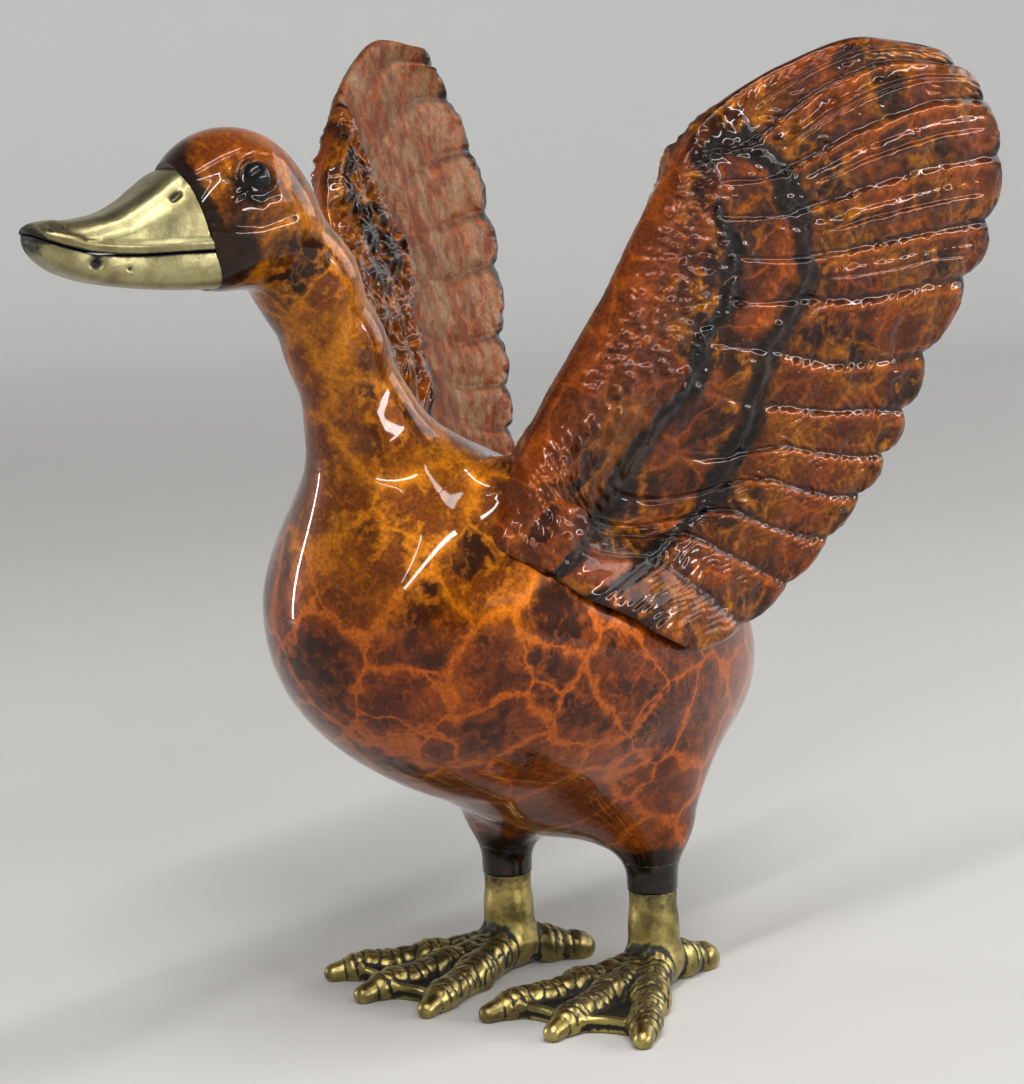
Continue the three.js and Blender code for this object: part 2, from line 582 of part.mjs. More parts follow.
// Tail: a short upturned fan of feathers with its root let into the rump
function tailSheet(face) {
  const columns = tail.feathers * 4;
  const rows = 5;
  return Array.from({ length: columns + 1 }, (_, i) => {
    const across = (2 * i) / columns - 1;
    const f = (i % 4) / 4;
    const scallop = i === columns ? 1 : Math.abs(2 * f - 1) ** 2;
    const length = tail.length * (1 - 0.16 * across * across) - 1.6 * scallop;
    return Array.from({ length: rows + 1 }, (_, j) => {
      const u = j / rows;
      const half = mix(tail.rootWidth, tail.width, u) / 2;
      const thick = mix(tail.edge, tail.thick, (1 - u) ** 1.6) * Math.sqrt(1 - across * across * 0.85);
      const rim = Math.abs(across) === 1 || j === rows ? 0.5 : 1;
      const relief = face > 0 ? 0.5 * (1 - scallop) * u : 0;
      const up = tail.rise * u * u * 0.6 + tail.rise * 0.4 * u - 3 * across * across * u;
      return [across * half, tail.rootY + length * u, tail.rootZ + up + face * (thick / 2 + relief) * rim];
    });
  });
}
const tailFront = tailSheet(1);
const tailBack = tailSheet(-1);
const tailPiece = solid(ringMesh(tailFront.map((row, i) => [...row, ...[...tailBack[i]].reverse()])));
const tailDowelAxis = unit([0, 1, tail.dowelSlope]);
const tailDowelAt = reach([0, 0, tail.dowelZ], unit([0, 1, 0.12]));
const tailMiddle = add(tailDowelAt, tailDowelAxis, (dowel.inTail - dowel.inRump) / 2);
const tailDowelLength = dowel.inTail + dowel.inRump;
const tailHoleLength = tailDowelLength + 2 * pinGap;
const tailHole = rodSolid(dowel.radius + pinGap, tailHoleLength, tailMiddle, tailDowelAxis, 12);
addPiece("tail_dowel", rodSolid(dowel.radius, tailDowelLength, tailMiddle, tailDowelAxis, 12), steel);
addPiece("tail", tailPiece.subtract(torsoSeat).subtract(tailHole), patina);
torso = torso.subtract(tailHole);

// Legs and feet: a dark upper leg let into the thigh, a rod through it, and a brass webbed foot
function toe(start, heading, length, radius, tipRadius, claw) {
  const direction = [Math.sin(heading), -Math.cos(heading), 0];
  const steps = foot.scutes * 2;
  const points = [];
  const radii = [];
  const bone = length - claw;
  for (let i = 0; i <= steps; i++) {
    const t = i / steps;
    const r = mix(radius, tipRadius, t) + (i % 2 ? foot.scuteHeight : 0);
    const z = mix(start[2], tipRadius * 0.8, Math.sqrt(t));
    points.push([start[0] + direction[0] * bone * t, start[1] + direction[1] * bone * t, z]);
    radii.push(r);
  }
  const end = points[points.length - 1];
  const nail = [add(end, direction, -1.5), add(end, direction, claw * 0.5), add(end, direction, claw)];
  nail[1][2] = tipRadius * 0.8;
  nail[2][2] = tipRadius * 0.45;
  return tube(points, radii, 8).add(tube(nail, [tipRadius * 0.95, tipRadius * 0.8, tipRadius * 0.3], 8));
}
function footPiece(side) {
  const ankle = [side * leg.x, side * leg.stagger, foot.ankleZ];
  const length = side > 0 ? foot.leftLength : foot.rightLength;
  const headings = [-1, 0, 1].map((k) => side * radians(foot.toeOut + k * foot.spread));
  const shankHeights = [leg.joinZ, foot.shankZ, foot.ankleZ + 2, foot.ankleZ - 3];
  const shankRadii = [leg.radius, foot.shankRadius, foot.ankleRadius, foot.ankleRadius * 0.9];
  let piece = tube(shankHeights.map((z) => [ankle[0], ankle[1], z]), shankRadii, 16);
  const tips = [];
  for (const h of headings) {
    const start = [ankle[0], ankle[1], foot.knuckle + 0.6];
    piece = piece.add(toe(start, h, length, foot.knuckle, foot.tipRadius, foot.claw));
    const along = length * foot.webReach;
    tips.push([ankle[0] + Math.sin(h) * along, ankle[1] - Math.cos(h) * along]);
  }
  const back = radians(side > 0 ? foot.leftBackTurn : foot.rightBackTurn);
  const heelStart = [ankle[0], ankle[1], foot.ankleZ];
  piece = piece.add(toe(heelStart, Math.PI - back, foot.backLength, foot.heel, foot.heelTip, foot.heelClaw));
  const web = new THREE.Shape();
  web.moveTo(ankle[0], ankle[1]);
  web.lineTo(...tips[0]);
  for (const k of [0, 1]) {
    const middle = [(tips[k][0] + tips[k + 1][0]) / 2, (tips[k][1] + tips[k + 1][1]) / 2];
    const drawn = [mix(middle[0], ankle[0], 0.16), mix(middle[1], ankle[1], 0.16)];
    web.quadraticCurveTo(...drawn, ...tips[k + 1]);
  }
  web.closePath();
  const flatPlate = { depth: foot.webThick, bevelEnabled: false, curveSegments: 6 };
  const plate = solid(new THREE.ExtrudeGeometry(web, flatPlate));
  return piece.add(plate).subtract(halfSpace([0, 0, 0], [0, 0, -1]));
}
for (const [name, side] of [["left", 1], ["right", -1]]) {
  const at = (z) => [side * leg.x, side * leg.stagger, z];
  const column = (radius, low, high) => rodSolid(radius, high - low, at((low + high) / 2), upward, 20);
  const rodHole = column(rod.radius + pinGap, rod.lowZ - gap, rod.topZ + gap);
  torso = torso.subtract(column(leg.radius + gap, 0, leg.topZ + gap));
  addPiece(`${name}_leg`, column(leg.radius, leg.joinZ + gap, leg.topZ).subtract(rodHole), darkPatina);
  addPiece(`${name}_foot`, footPiece(side).subtract(rodHole), brass);
  addPiece(`${name}_leg_rod`, column(rod.radius, rod.lowZ, rod.topZ), steel);
}
addPiece("torso", torso, patina);

export default duck;
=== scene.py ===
# A cast bronze duck with raised wings, dressed piece by piece around its solids.
# Lengths in the sections are millimetres from the point on the ground midway between the legs.
import math

import bmesh
import bpy
import numpy as np
from mathutils import Matrix, Quaternion, Vector


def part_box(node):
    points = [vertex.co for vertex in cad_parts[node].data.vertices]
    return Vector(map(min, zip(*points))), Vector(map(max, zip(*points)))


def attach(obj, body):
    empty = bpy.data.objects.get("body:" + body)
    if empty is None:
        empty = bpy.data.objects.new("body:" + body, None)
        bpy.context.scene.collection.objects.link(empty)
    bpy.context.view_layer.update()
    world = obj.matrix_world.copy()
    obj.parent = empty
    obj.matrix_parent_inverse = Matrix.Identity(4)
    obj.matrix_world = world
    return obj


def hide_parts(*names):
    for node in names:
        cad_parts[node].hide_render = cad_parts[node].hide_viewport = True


# Camera: in front of the duck's left shoulder and a little above it, looking slightly down, as the
# photograph was taken. Places are metres here, and the focal length is in pixels of the picture.
camera_place = Vector((0.38686, -0.39943, 0.180))
camera_ahead = Vector((-0.682, 0.731, 0))
camera_pitch = 0.1463
camera_roll = -0.0352
focal_pixels = 2800
picture_width, picture_height = 1024, 1084
film = 36.0
camera_data = bpy.data.cameras.new("camera")
camera_data.sensor_width = film
camera_data.lens = film * focal_pixels / max(picture_width, picture_height)
camera = bpy.data.objects.new("camera", camera_data)
bpy.context.scene.collection.objects.link(camera)
looking = camera_ahead.normalized() * math.cos(camera_pitch) - Vector((0, 0, math.sin(camera_pitch)))
camera.rotation_mode = "QUATERNION"
camera.rotation_quaternion = looking.to_track_quat("-Z", "Y") @ Quaternion((0, 0, 1), camera_roll)
camera.location = camera_place
bpy.context.scene.camera = camera

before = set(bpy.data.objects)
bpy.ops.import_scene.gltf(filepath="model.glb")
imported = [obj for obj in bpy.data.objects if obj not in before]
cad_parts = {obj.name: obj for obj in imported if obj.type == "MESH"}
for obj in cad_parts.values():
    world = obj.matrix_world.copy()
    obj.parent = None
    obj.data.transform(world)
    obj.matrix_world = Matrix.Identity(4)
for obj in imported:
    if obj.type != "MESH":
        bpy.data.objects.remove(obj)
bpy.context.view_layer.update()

# Body casting: a hollow egg of bronze with the stubs of the neck, thighs and shoulders,
# cast in one with the neck's root and chased smooth before the patina goes on.
legs_low = (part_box("left_leg")[0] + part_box("right_leg")[0]) / 2
legs_high = (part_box("left_leg")[1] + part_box("right_leg")[1]) / 2
stand = np.array([(legs_low.x + legs_high.x) / 2, (legs_low.y + legs_high.y) / 2, 0.0])
leg_x = 17.4
leg_stagger = 3.7
leg_radius = 5.2
leg_join = 21.0
thigh_end = 27.5
# Swellings of the body: middle, then half width, half length and half height
barrel = (0, -14, 74.5), (38, 60, 34.5)
barrel_tilt = 12
breast = (0, -41, 88), (30.5, 32.5, 28)
belly = (0, -1, 53), (21, 25, 20)
rump_start, rump_end = (0, 24, 79), (0, 40, 86)
neck_root_radius = 19
neck_low_radius = 10.3
neck_radius = 9.2
nape_radius = 10
skull_middle, skull_size = (0, 3.5, 1.2), (12.2, 15, 13.8)
jaw_middle, jaw_size = (0, 6, -4.5), (10.5, 12.5, 10)
hip_radius, knee_radius = 12, 8.6
shoulder_radius, shoulder_top_radius = 9, 5
rump_radius, rump_end_radius = 15, 6
body_low, body_high = (-44, -88, 22), (44, 52, 132)
body_step = 0.9


def smooth_union(a, b, k):
    h = np.clip(0.5 + 0.5 * (b - a) / k, 0, 1)
    return b + (a - b) * h - k * h * (1 - h)


def ellipsoid(p, centre, radii):
    q = p - np.array(centre)
    near = np.linalg.norm(q / radii, axis=1)
    steep = np.linalg.norm(q / np.square(radii), axis=1)
    return near * (near - 1) / np.maximum(steep, 1e-9)


def round_cone(p, a, b, ra, rb):
    a, b = np.array(a, float), np.array(b, float)
    d = b - a
    t = np.clip((p - a) @ d / (d @ d), 0, 1)
    return np.linalg.norm(p - a - t[:, None] * d, axis=1) - (ra + (rb - ra) * t)


def tilted(p, centre, degrees):
    q = p - np.array(centre)
    c, s = math.cos(math.radians(degrees)), math.sin(math.radians(degrees))
    return np.stack([q[:, 0], q[:, 1] * c - q[:, 2] * s, q[:, 1] * s + q[:, 2] * c], 1)


head_centre = np.array([0.0, -86.0, 167.3])
head_turn = math.radians(15)
head_ahead = np.array([-math.sin(head_turn), -math.cos(head_turn), 0.0])
head_left = np.array([math.cos(head_turn), -math.sin(head_turn), 0.0])
spine = np.array([[0, -47, 100], [0, -58, 124], [0, -64.5, 140], [0, -71.5, 153]], float)
nape = np.array([0.0, -80.0, 163.0])


def in_head(p):
    q = p - head_centre
    return np.stack([q @ head_left, q @ head_ahead, q[:, 2]], 1)


def from_head(p):
    return head_centre + p[:, :1] * head_left + p[:, 1:2] * head_ahead + p[:, 2:] * np.array([0, 0, 1.0])


def duck_skin(p):
    tilted_barrel = ellipsoid(tilted(p, barrel[0], barrel_tilt), (0, 0, 0), barrel[1])
    d = smooth_union(tilted_barrel, ellipsoid(p, *breast), 10)
    d = smooth_union(d, ellipsoid(p, *belly), 14)
    for side in (1, -1):
        hip = (side * 16, side * 3 - 2, 50)
        knee = (side * leg_x, side * leg_stagger, 36)
        d = smooth_union(d, round_cone(p, hip, knee, hip_radius, knee_radius), 12)
        shoulder = (side * 22, -36, 98)
        shoulder_top = (side * 25, -41, 113)
        stub = round_cone(p, shoulder, shoulder_top, shoulder_radius, shoulder_top_radius)
        d = smooth_union(d, stub, 8)
        shank_top = (side * leg_x, side * leg_stagger, 34)
        foot_top = (side * leg_x, side * leg_stagger, leg_join - 4)
        d = smooth_union(d, round_cone(p, shank_top, foot_top, leg_radius + 0.6, leg_radius), 4)
    d = smooth_union(d, round_cone(p, rump_start, rump_end, rump_radius, rump_end_radius), 10)
    neck = round_cone(p, spine[0], spine[1], neck_root_radius, neck_low_radius)
    neck = smooth_union(neck, round_cone(p, spine[1], spine[2], neck_low_radius, neck_radius), 4)
    neck = smooth_union(neck, round_cone(p, spine[2], spine[3], neck_radius, neck_radius), 3)
    d = smooth_union(d, neck, 18)
    q = in_head(p)
    skull = smooth_union(ellipsoid(q, skull_middle, skull_size), ellipsoid(q, jaw_middle, jaw_size), 5)
    skull = smooth_union(skull, round_cone(p, spine[3], nape, neck_radius, nape_radius), 5)
    return smooth_union(d, skull, 4)


def slope_of(field, p, reach=0.05):
    steps = np.eye(3) * reach
    g = np.stack([field(p + s) - field(p - s) for s in steps], 1)
    return g / np.maximum(np.linalg.norm(g, axis=1, keepdims=True), 1e-9)


# Every place of a grid, in rows of three
def grid_places(ranges):
    return np.stack(np.meshgrid(*ranges, indexing="ij"), -1).reshape(-1, 3)


# The surface where a field is zero, as quads a step wide whose corners lie on it. Blocks of the
# grid that lie far from the surface are taken as all inside or all outside.
def cast_surface(field, low, high, step, block=8):
    low = np.array(low, float)
    counts = [int(math.ceil((b - a) / step / block)) for a, b in zip(low, high)]
    shape = [n * block for n in counts]
    corners = grid_places([np.arange(n) * block for n in counts])
    within = grid_places([np.arange(block)] * 3)
    far = field(low + (corners + (block - 1) / 2) * step)
    filled = np.repeat((far < 0)[:, None], block**3, axis=1)
    near = np.abs(far) < block * step * 1.6
    fine = (corners[near][:, None] + within[None]).reshape(-1, 3) * step + low
    filled[near] = (field(fine) < 0).reshape(-1, block**3)
    inside = filled.reshape(counts + [block] * 3).transpose(0, 3, 1, 4, 2, 5).reshape(shape)
    cells = np.zeros([n - 1 for n in shape], int)
    for i, j, k in grid_places([np.arange(2)] * 3):
        cells += inside[i : i + shape[0] - 1, j : j + shape[1] - 1, k : k + shape[2] - 1]
    active = (cells > 0) & (cells < 8)
    index = np.full(cells.shape, -1)
    index[active] = np.arange(active.sum())
    points = np.argwhere(active) * step + step / 2 + low
    quads = []
    for axis in range(3):
        one, two = (axis + 1) % 3, (axis + 2) % 3
        a = np.moveaxis(inside, (axis, one, two), (0, 1, 2))
        crossing = (a[:-1] != a[1:])[:, 1:-1, 1:-1]
        c = np.moveaxis(index, (axis, one, two), (0, 1, 2))
        i, j, k = np.nonzero(crossing)
        ring = np.stack([c[i, j, k], c[i, j + 1, k], c[i, j + 1, k + 1], c[i, j, k + 1]], 1)
        flip = a[:-1][:, 1:-1, 1:-1][i, j, k]
        ring[~flip] = ring[~flip][:, ::-1]
        quads.append(ring)
    quads = np.concatenate(quads)
    quads = quads[(quads >= 0).all(1)]
    for rounds in range(3):
        for _ in range(1 + rounds // 2):
            points = points - field(points)[:, None] * slope_of(field, points)
        if rounds < 2:
            total = np.zeros_like(points)
            count = np.zeros(len(points))
            for a, b in ((0, 1), (1, 0), (1, 2), (2, 1), (2, 3), (3, 2), (3, 0), (0, 3)):
                np.add.at(total, quads[:, a], points[quads[:, b]])
                np.add.at(count, quads[:, a], 1)
            points = 0.4 * points + 0.6 * total / np.maximum(count, 1)[:, None]
    return points, quads


def millimetres(points):
    return np.asarray(points, float) / 1000 + stand


def piece_from(name, points, faces):
    mesh = bpy.data.meshes.new(name)
    mesh.from_pydata(millimetres(points).tolist(), [], [list(map(int, f)) for f in faces])
    mesh.update()
    piece = bpy.data.objects.new(name, mesh)
    bpy.context.scene.collection.objects.link(piece)
    return piece


# Cuts a closed mesh along a plane, keeps what lies on the far side of its normal and closes the cut
def cut_piece(piece, point, normal):
    bm = bmesh.new()
    bm.from_mesh(piece.data)
    everything = bm.verts[:] + bm.edges[:] + bm.faces[:]
    plane = {"plane_co": Vector(millimetres(point)), "plane_no": Vector(normal)}
    cut = bmesh.ops.bisect_plane(bm, geom=everything, clear_outer=True, **plane)
    rim = [e for e in cut["geom_cut"] if isinstance(e, bmesh.types.BMEdge)]
    caps = bmesh.ops.holes_fill(bm, edges=rim, sides=0)["faces"]
    for face in bm.faces:
        face.smooth = face not in caps
    bmesh.ops.recalc_face_normals(bm, faces=bm.faces)
    bm.to_mesh(piece.data)
    bm.free()


def node(tree, kind, inputs=None, **settings):
    made = tree.nodes.new(kind)
    for name, value in settings.items():
        setattr(made, name, value)
    for name, value in (inputs or {}).items():
        if isinstance(value, bpy.types.NodeSocket):
            tree.links.new(value, made.inputs[name])
        else:
            made.inputs[name].default_value = value
    return made


def calc(tree, operation, a, b=0.0, clamp=False):
    return node(tree, "ShaderNodeMath", {0: a, 1: b}, operation=operation, use_clamp=clamp).outputs[0]


def plus(tree, a, b):
    return calc(tree, "ADD", a, b)


def times(tree, a, b):
    return calc(tree, "MULTIPLY", a, b)


def one_less(tree, a):
    return calc(tree, "SUBTRACT", 1.0, a)


# A smooth step from 0 to 1 while a value goes from low to high
def stepped(tree, value, low, high):
    inputs = {"Value": value, "From Min": low, "From Max": high}
    return node(tree, "ShaderNodeMapRange", inputs, interpolation_type="SMOOTHSTEP").outputs["Result"]


def mixed(tree, share, a, b, blend="MIX"):
    made = node(tree, "ShaderNodeMix", {0: share, 6: a, 7: b}, data_type="RGBA", blend_type=blend)
    return made.outputs[2]


def noise(tree, place, scale, detail=3.0, rough=0.5):
    inputs = {"Vector": place, "Scale": scale, "Detail": detail, "Roughness": rough}
    return node(tree, "ShaderNodeTexNoise", inputs)


def attribute(tree, name):
    return node(tree, "ShaderNodeAttribute", attribute_name=name).outputs["Fac"]


def tint(red, green, blue):
    linear = [c / 12.92 if c <= 0.04045 else ((c + 0.055) / 1.055) ** 2.4 for c in (red, green, blue)]
    return (*linear, 1.0)


# Hot patina: the salts dry in rounded pools with bright ragged rims, over the whole casting
patina = bpy.data.node_groups.new("dried_patina_pools", "ShaderNodeTree")
patina.interface.new_socket("Place", in_out="INPUT", socket_type="NodeSocketVector")
for name in ("Pool Size", "Rim Width", "Swirl"):
    patina.interface.new_socket(name, in_out="INPUT", socket_type="NodeSocketFloat")
for name in ("Rim", "Halo", "Tone", "Mottle"):
    patina.interface.new_socket(name, in_out="OUTPUT", socket_type="NodeSocketFloat")
entry = node(patina, "NodeGroupInput")
place, pool, rim_width, swirl = [entry.outputs[i] for i in range(4)]


def swirled(tree, place, scale, reach, detail):
    cloud = noise(tree, place, scale, detail).outputs["Color"]
    shove = node(tree, "ShaderNodeVectorMath", {0: cloud, 1: (0.5, 0.5, 0.5)}, operation="SUBTRACT")
    pushed = node(tree, "ShaderNodeVectorMath", {0: shove.outputs[0], "Scale": reach}, operation="SCALE")
    return node(tree, "ShaderNodeVectorMath", {0: place, 1: pushed.outputs[0]}, operation="ADD").outputs[0]


bent = swirled(patina, place, 0.055, swirl, 2.0)
bent = swirled(patina, bent, 0.3, 2.2, 3.0)
density = calc(patina, "DIVIDE", 1.0, pool)
edges = node(patina, "ShaderNodeTexVoronoi", {"Vector": bent, "Scale": density}, feature="DISTANCE_TO_EDGE")
from_edge = times(patina, edges.outputs["Distance"], pool)
pools = node(patina, "ShaderNodeTexVoronoi", {"Vector": bent, "Scale": density}, feature="F1")
pool_tone = node(patina, "ShaderNodeSeparateColor", {0: pools.outputs["Color"]}).outputs[0]
cloud = noise(patina, place, 0.07, 4.0, 0.6).outputs["Fac"]
ragged = noise(patina, place, 0.36, 4.0, 0.55).outputs["Fac"]
spread = plus(patina, stepped(patina, cloud, 0.36, 0.7), stepped(patina, ragged, 0.45, 0.7))
wide = times(patina, rim_width, plus(patina, 0.2, spread))
widths = calc(patina, "DIVIDE", from_edge, wide)
rim = one_less(patina, stepped(patina, widths, 0.1, 1.0))
halo = one_less(patina, stepped(patina, widths, 0.2, 3.6))
small = noise(patina, bent, 0.13, 3.0, 0.55).outputs["Fac"]
blots = calc(patina, "ABSOLUTE", calc(patina, "SUBTRACT", small, 0.56))
blot_rim = one_less(patina, stepped(patina, blots, 0.0, 0.035))
rim = calc(patina, "MAXIMUM", rim, times(patina, blot_rim, 0.3))
tone = plus(patina, times(patina, pool_tone, 0.45), times(patina, cloud, 0.55))
tone = plus(patina, tone, times(patina, stepped(patina, small, 0.5, 0.62), 0.18))
node(patina, "NodeGroupOutput", {"Rim": rim, "Halo": halo, "Tone": tone, "Mottle": ragged})

burnt = tint(0.18, 0.075, 0.03)
chestnut = tint(0.335, 0.135, 0.035)
copper = tint(0.55, 0.25, 0.04)
orange = tint(0.72, 0.35, 0.04)
umber = tint(0.17, 0.07, 0.015)
amber = tint(0.41, 0.2, 0.015)
gold = tint(0.71, 0.42, 0.03)
clay = tint(0.53, 0.4, 0.28)
soot = tint(0.035, 0.03, 0.03)


def new_material(name):
    material = bpy.data.materials.new(name)
    material.use_nodes = True
    material.node_tree.nodes.clear()
    return material


# A surface shader wired to its material's output
def finish_with(tree, inputs):
    shader = node(tree, "ShaderNodeBsdfPrincipled", inputs)
    node(tree, "ShaderNodeOutputMaterial", {"Surface": shader.outputs[0]})


def in_millimetres(tree):
    place = {0: node(tree, "ShaderNodeTexCoord").outputs["Object"], 1: (1000, 1000, 1000)}
    return node(tree, "ShaderNodeVectorMath", place, operation="MULTIPLY").outputs[0]


# Patina colours under clear lacquer: brown pools, gold where the torch was hottest, black where painted,
# with painted light on raised places and painted shade in creases
def patina_material(name, pool_size, rim_size, swirl_size, rim_share, patches, patch_size):
    material = new_material(name)
    tree = material.node_tree
    place = in_millimetres(tree)
    sizes = {"Place": place, "Pool Size": pool_size, "Rim Width": rim_size, "Swirl": swirl_size}
    rim, halo, tone, mottle = node(tree, "ShaderNodeGroup", sizes, node_tree=patina).outputs
    marks = ("golden", "ruddy", "painted", "painted_shade_and_grime", "painted_light", "calm", "bare", "dull")
    golden, ruddy, painted, painted_shade_and_grime, painted_light, calm, bare, dull = [attribute(tree, name) for name in marks]
    brown = mixed(tree, stepped(tree, tone, 0.25, 0.75), burnt, chestnut)
    brown = mixed(tree, stepped(tree, mottle, 0.42, 0.75), brown, mixed(tree, 0.3, brown, copper))
    warm = noise(tree, place, 1 / patch_size, 4.0, 0.6).outputs["Fac"]
    brown = mixed(tree, times(tree, stepped(tree, warm, 0.46, 0.62), patches), brown, copper)
    brown = mixed(tree, times(tree, ruddy, 0.6), brown, copper)
    honey = mixed(tree, stepped(tree, tone, 0.5, 0.61), umber, amber)
    honey = mixed(tree, stepped(tree, mottle, 0.52, 0.78), honey, gold)
    base = mixed(tree, golden, brown, honey)
    bright = mixed(tree, golden, orange, gold)
    strength = plus(tree, 0.5, times(tree, mottle, 0.6))
    rims = calc(tree, "MULTIPLY", rim, strength, clamp=True)
    quiet = times(tree, rim_share, one_less(tree, calm))
    halo_share = times(tree, times(tree, halo, mottle), quiet)
    base = mixed(tree, halo_share, base, mixed(tree, golden, copper, gold))
    base = mixed(tree, times(tree, rims, quiet), base, bright)
    # Lighter towards orange on the crown and the feathers' raised edges: painted light and painted
    # highlight
    base = mixed(tree, times(tree, painted_light, 0.5), base, orange)
    chalky = stepped(tree, plus(tree, warm, mottle), 0.8, 1.25)
    base = mixed(tree, times(tree, bare, chalky), base, clay)
    # Darker towards burnt brown in creases, gaps and barb troughs: painted shade
    base = mixed(tree, times(tree, painted_shade_and_grime, 0.85), base, burnt)
    smoke = noise(tree, place, 0.6, 5.0, 0.7).outputs["Fac"]
    edge = plus(tree, painted, times(tree, calc(tree, "SUBTRACT", smoke, 0.5), 0.7))
    black = stepped(tree, edge, 0.3, 0.75)
    base = mixed(tree, times(tree, black, 0.94), base, soot)
    fine = noise(tree, place, 1.3, 6.0, 0.65).outputs["Fac"]
    grain = mixed(tree, stepped(tree, fine, 0.35, 0.65), tint(0.55, 0.5, 0.45), tint(1, 1, 1))
    base = mixed(tree, 0.6, base, mixed(tree, 1.0, base, grain, "MULTIPLY"))
    cast = noise(tree, place, 0.35, 2.0).outputs["Fac"]
    bump = node(tree, "ShaderNodeBump", {"Strength": 0.25, "Distance": 0.0004, "Height": cast})
    shine = plus(tree, 0.26, times(tree, fine, 0.14))
    coat = one_less(tree, times(tree, dull, 0.97))
    finish_with(
        tree,
        {
            "Base Color": base,
            "Metallic": 0.3,
            "Roughness": shine,
            "Normal": bump.outputs[0],
            "Specular IOR Level": 0.05,
            "Coat Weight": coat,
            "Coat Roughness": 0.03,
            "Coat IOR": 1.3,
        },
    )
    return material


def dress(piece, material):
    piece.data.materials.clear()
    piece.data.materials.append(material)


def mark(piece, name, values):
    layer = piece.data.attributes.new(name, "FLOAT", "POINT")
    layer.data.foreach_set("value", np.clip(np.asarray(values, np.float32).ravel(), 0, 1))


# Corners of a finished piece, in millimetres from the point between the legs
def corners_of(piece):
    flat = np.empty(len(piece.data.vertices) * 3)
    piece.data.vertices.foreach_get("co", flat)
    return (flat.reshape(-1, 3) - stand) * 1000


def smoothly(low, high, value):
    t = np.clip((value - low) / (high - low), 0, 1)
    return t * t * (3 - 2 * t)


# How far points are from a line drawn through corners
def line_distance(p, corners):
    corners = [np.array(c, float) for c in corners]
    nearest = np.full(len(p), 1e9)
    for a, b in zip(corners[:-1], corners[1:]):
        d = b - a
        t = np.clip((p - a) @ d / (d @ d), 0, 1)
        nearest = np.minimum(nearest, np.linalg.norm(p - a - t[:, None] * d, axis=1))
    return nearest


def ridge(distance, width):
    return np.exp(-np.square(distance / width))


# The neck and breast are painted lighter on the duck's left, lit side and darker towards its right: painted
# light and painted shade
def painted_lit_side(p):
    start = -8 - 18 * (1 - smoothly(95, 115, p[:, 2]))
    return 0.25 + 0.75 * smoothly(0, 14, p[:, 0] - start)


# Golden on the neck and breast, painted lighter on the lit side, ruddy at the rump and black where the legs
# leave the body
def body_tones(piece):
    p = corners_of(piece)
    front = smoothly(-28, -58, p[:, 1])
    mark(piece, "golden", front * smoothly(86, 110, p[:, 2] + 0.25 * p[:, 0]) * painted_lit_side(p))
    mark(piece, "ruddy", smoothly(-8, 40, p[:, 1]) * 0.9 + 0.25 * (1 - smoothly(40, 60, p[:, 2])))
    mark(piece, "painted", 1 - smoothly(27, 36, p[:, 2]))
    mark(piece, "dull", 1.2 * ridge(line_distance(p, rubbed_line), rubbed_width))


# A patch of dull lacquer below the left wing's front corner
rubbed_line = [(25, -62, 91.5), (30, -53, 93), (33, -43, 95)]
rubbed_width = 6.5
body_patina = patina_material(
    "marbled_body_patina",
    pool_size=17.0,
    rim_size=1.5,
    swirl_size=12.0,
    rim_share=1.0,
    patches=0.6,
    patch_size=22.0,
)
neck_pitch = math.radians(24.6)
neck_point = np.array([0, -53.5, 114.5])
neck_axis = np.array([0, -math.sin(neck_pitch), math.cos(neck_pitch)])
neck_lap = 0.8
drawn_in = 0.025
body_points, body_faces = cast_surface(duck_skin, body_low, body_high, body_step)
under_neck = smoothly(-4, -1, (body_points - neck_point) @ neck_axis)[:, None]
body_points = body_points - drawn_in * under_neck * slope_of(duck_skin, body_points)
torso = piece_from("body_casting", body_points, body_faces)
cut_piece(torso, neck_point, neck_axis)
cut_piece(torso, (0, 0, thigh_end), (0, 0, -1))
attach(torso, "root")
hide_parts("torso")
body_tones(torso)
dress(torso, body_patina)


# Neck and head: one hollow casting from the shoulders up, soldered to the body under the sleeve.
# The eye rims, brows and cheek folds are chased into the bronze by hand.
eye_forward = 2.7
eye_up = 5.6
eye_radius = 3.2
bill_forward = 13.3
bill_slope = 0.3
bill_axis = np.array([head_ahead[0], head_ahead[1], -bill_slope]) / math.hypot(1, bill_slope)
bill_seat = from_head(np.array([[0, bill_forward, 0.0]]))[0]
head_low, head_high = (-36, -112, 94), (34, -24, 185)
head_step = 0.5
crease_width = 0.6
brow = [(-1.5, 10.2), (3.5, 11.4), (9, 9.6), (14.6, 6.9)]
upper_lid = [(-0.6, 9.4), (2.4, 10.0), (5.4, 8.7), (6.8, 6.6)]
creases = [
    [(8.4, 6.0), (6.2, 4.0), (3.0, 2.4), (-0.6, 2.3)],
    [(7.6, 3.6), (5.2, 2.4), (2.6, 1.2)],
    [(7.8, 2.0), (5.6, 3.6), (6.8, 6.0)],
]
cheek_fold = [(-4.5, -1.2), (2.6, -2.8), (7, -2.6), (11.8, -1.4)]


def head_skin(p):
    q = in_head(p)
    side = np.clip((np.abs(q[:, 0]) - 5) / 2, 0, 1)
    from_eye = np.hypot(q[:, 1] - eye_forward, (q[:, 2] - eye_up) * 1.12)
    around = np.arctan2(q[:, 2] - eye_up, q[:, 1] - eye_forward)
    lid = 0.6 + 0.3 * np.cos(around - 2.0) + 0.12 * np.sin(3 * around)
    rise = 0.8 * lid * ridge(from_eye - 3.6, 0.5)
    rise += 0.5 * ridge(line_distance(q[:, 1:], brow), 1.3)
    rise -= 0.3 * ridge(line_distance(q[:, 1:], upper_lid), 0.45)
    for crease in creases:
        rise -= 0.32 * ridge(line_distance(q[:, 1:], crease), crease_width)
    rise -= 0.5 * ridge(line_distance(q[:, 1:], cheek_fold), 1.1)
    return duck_skin(p) - rise * side


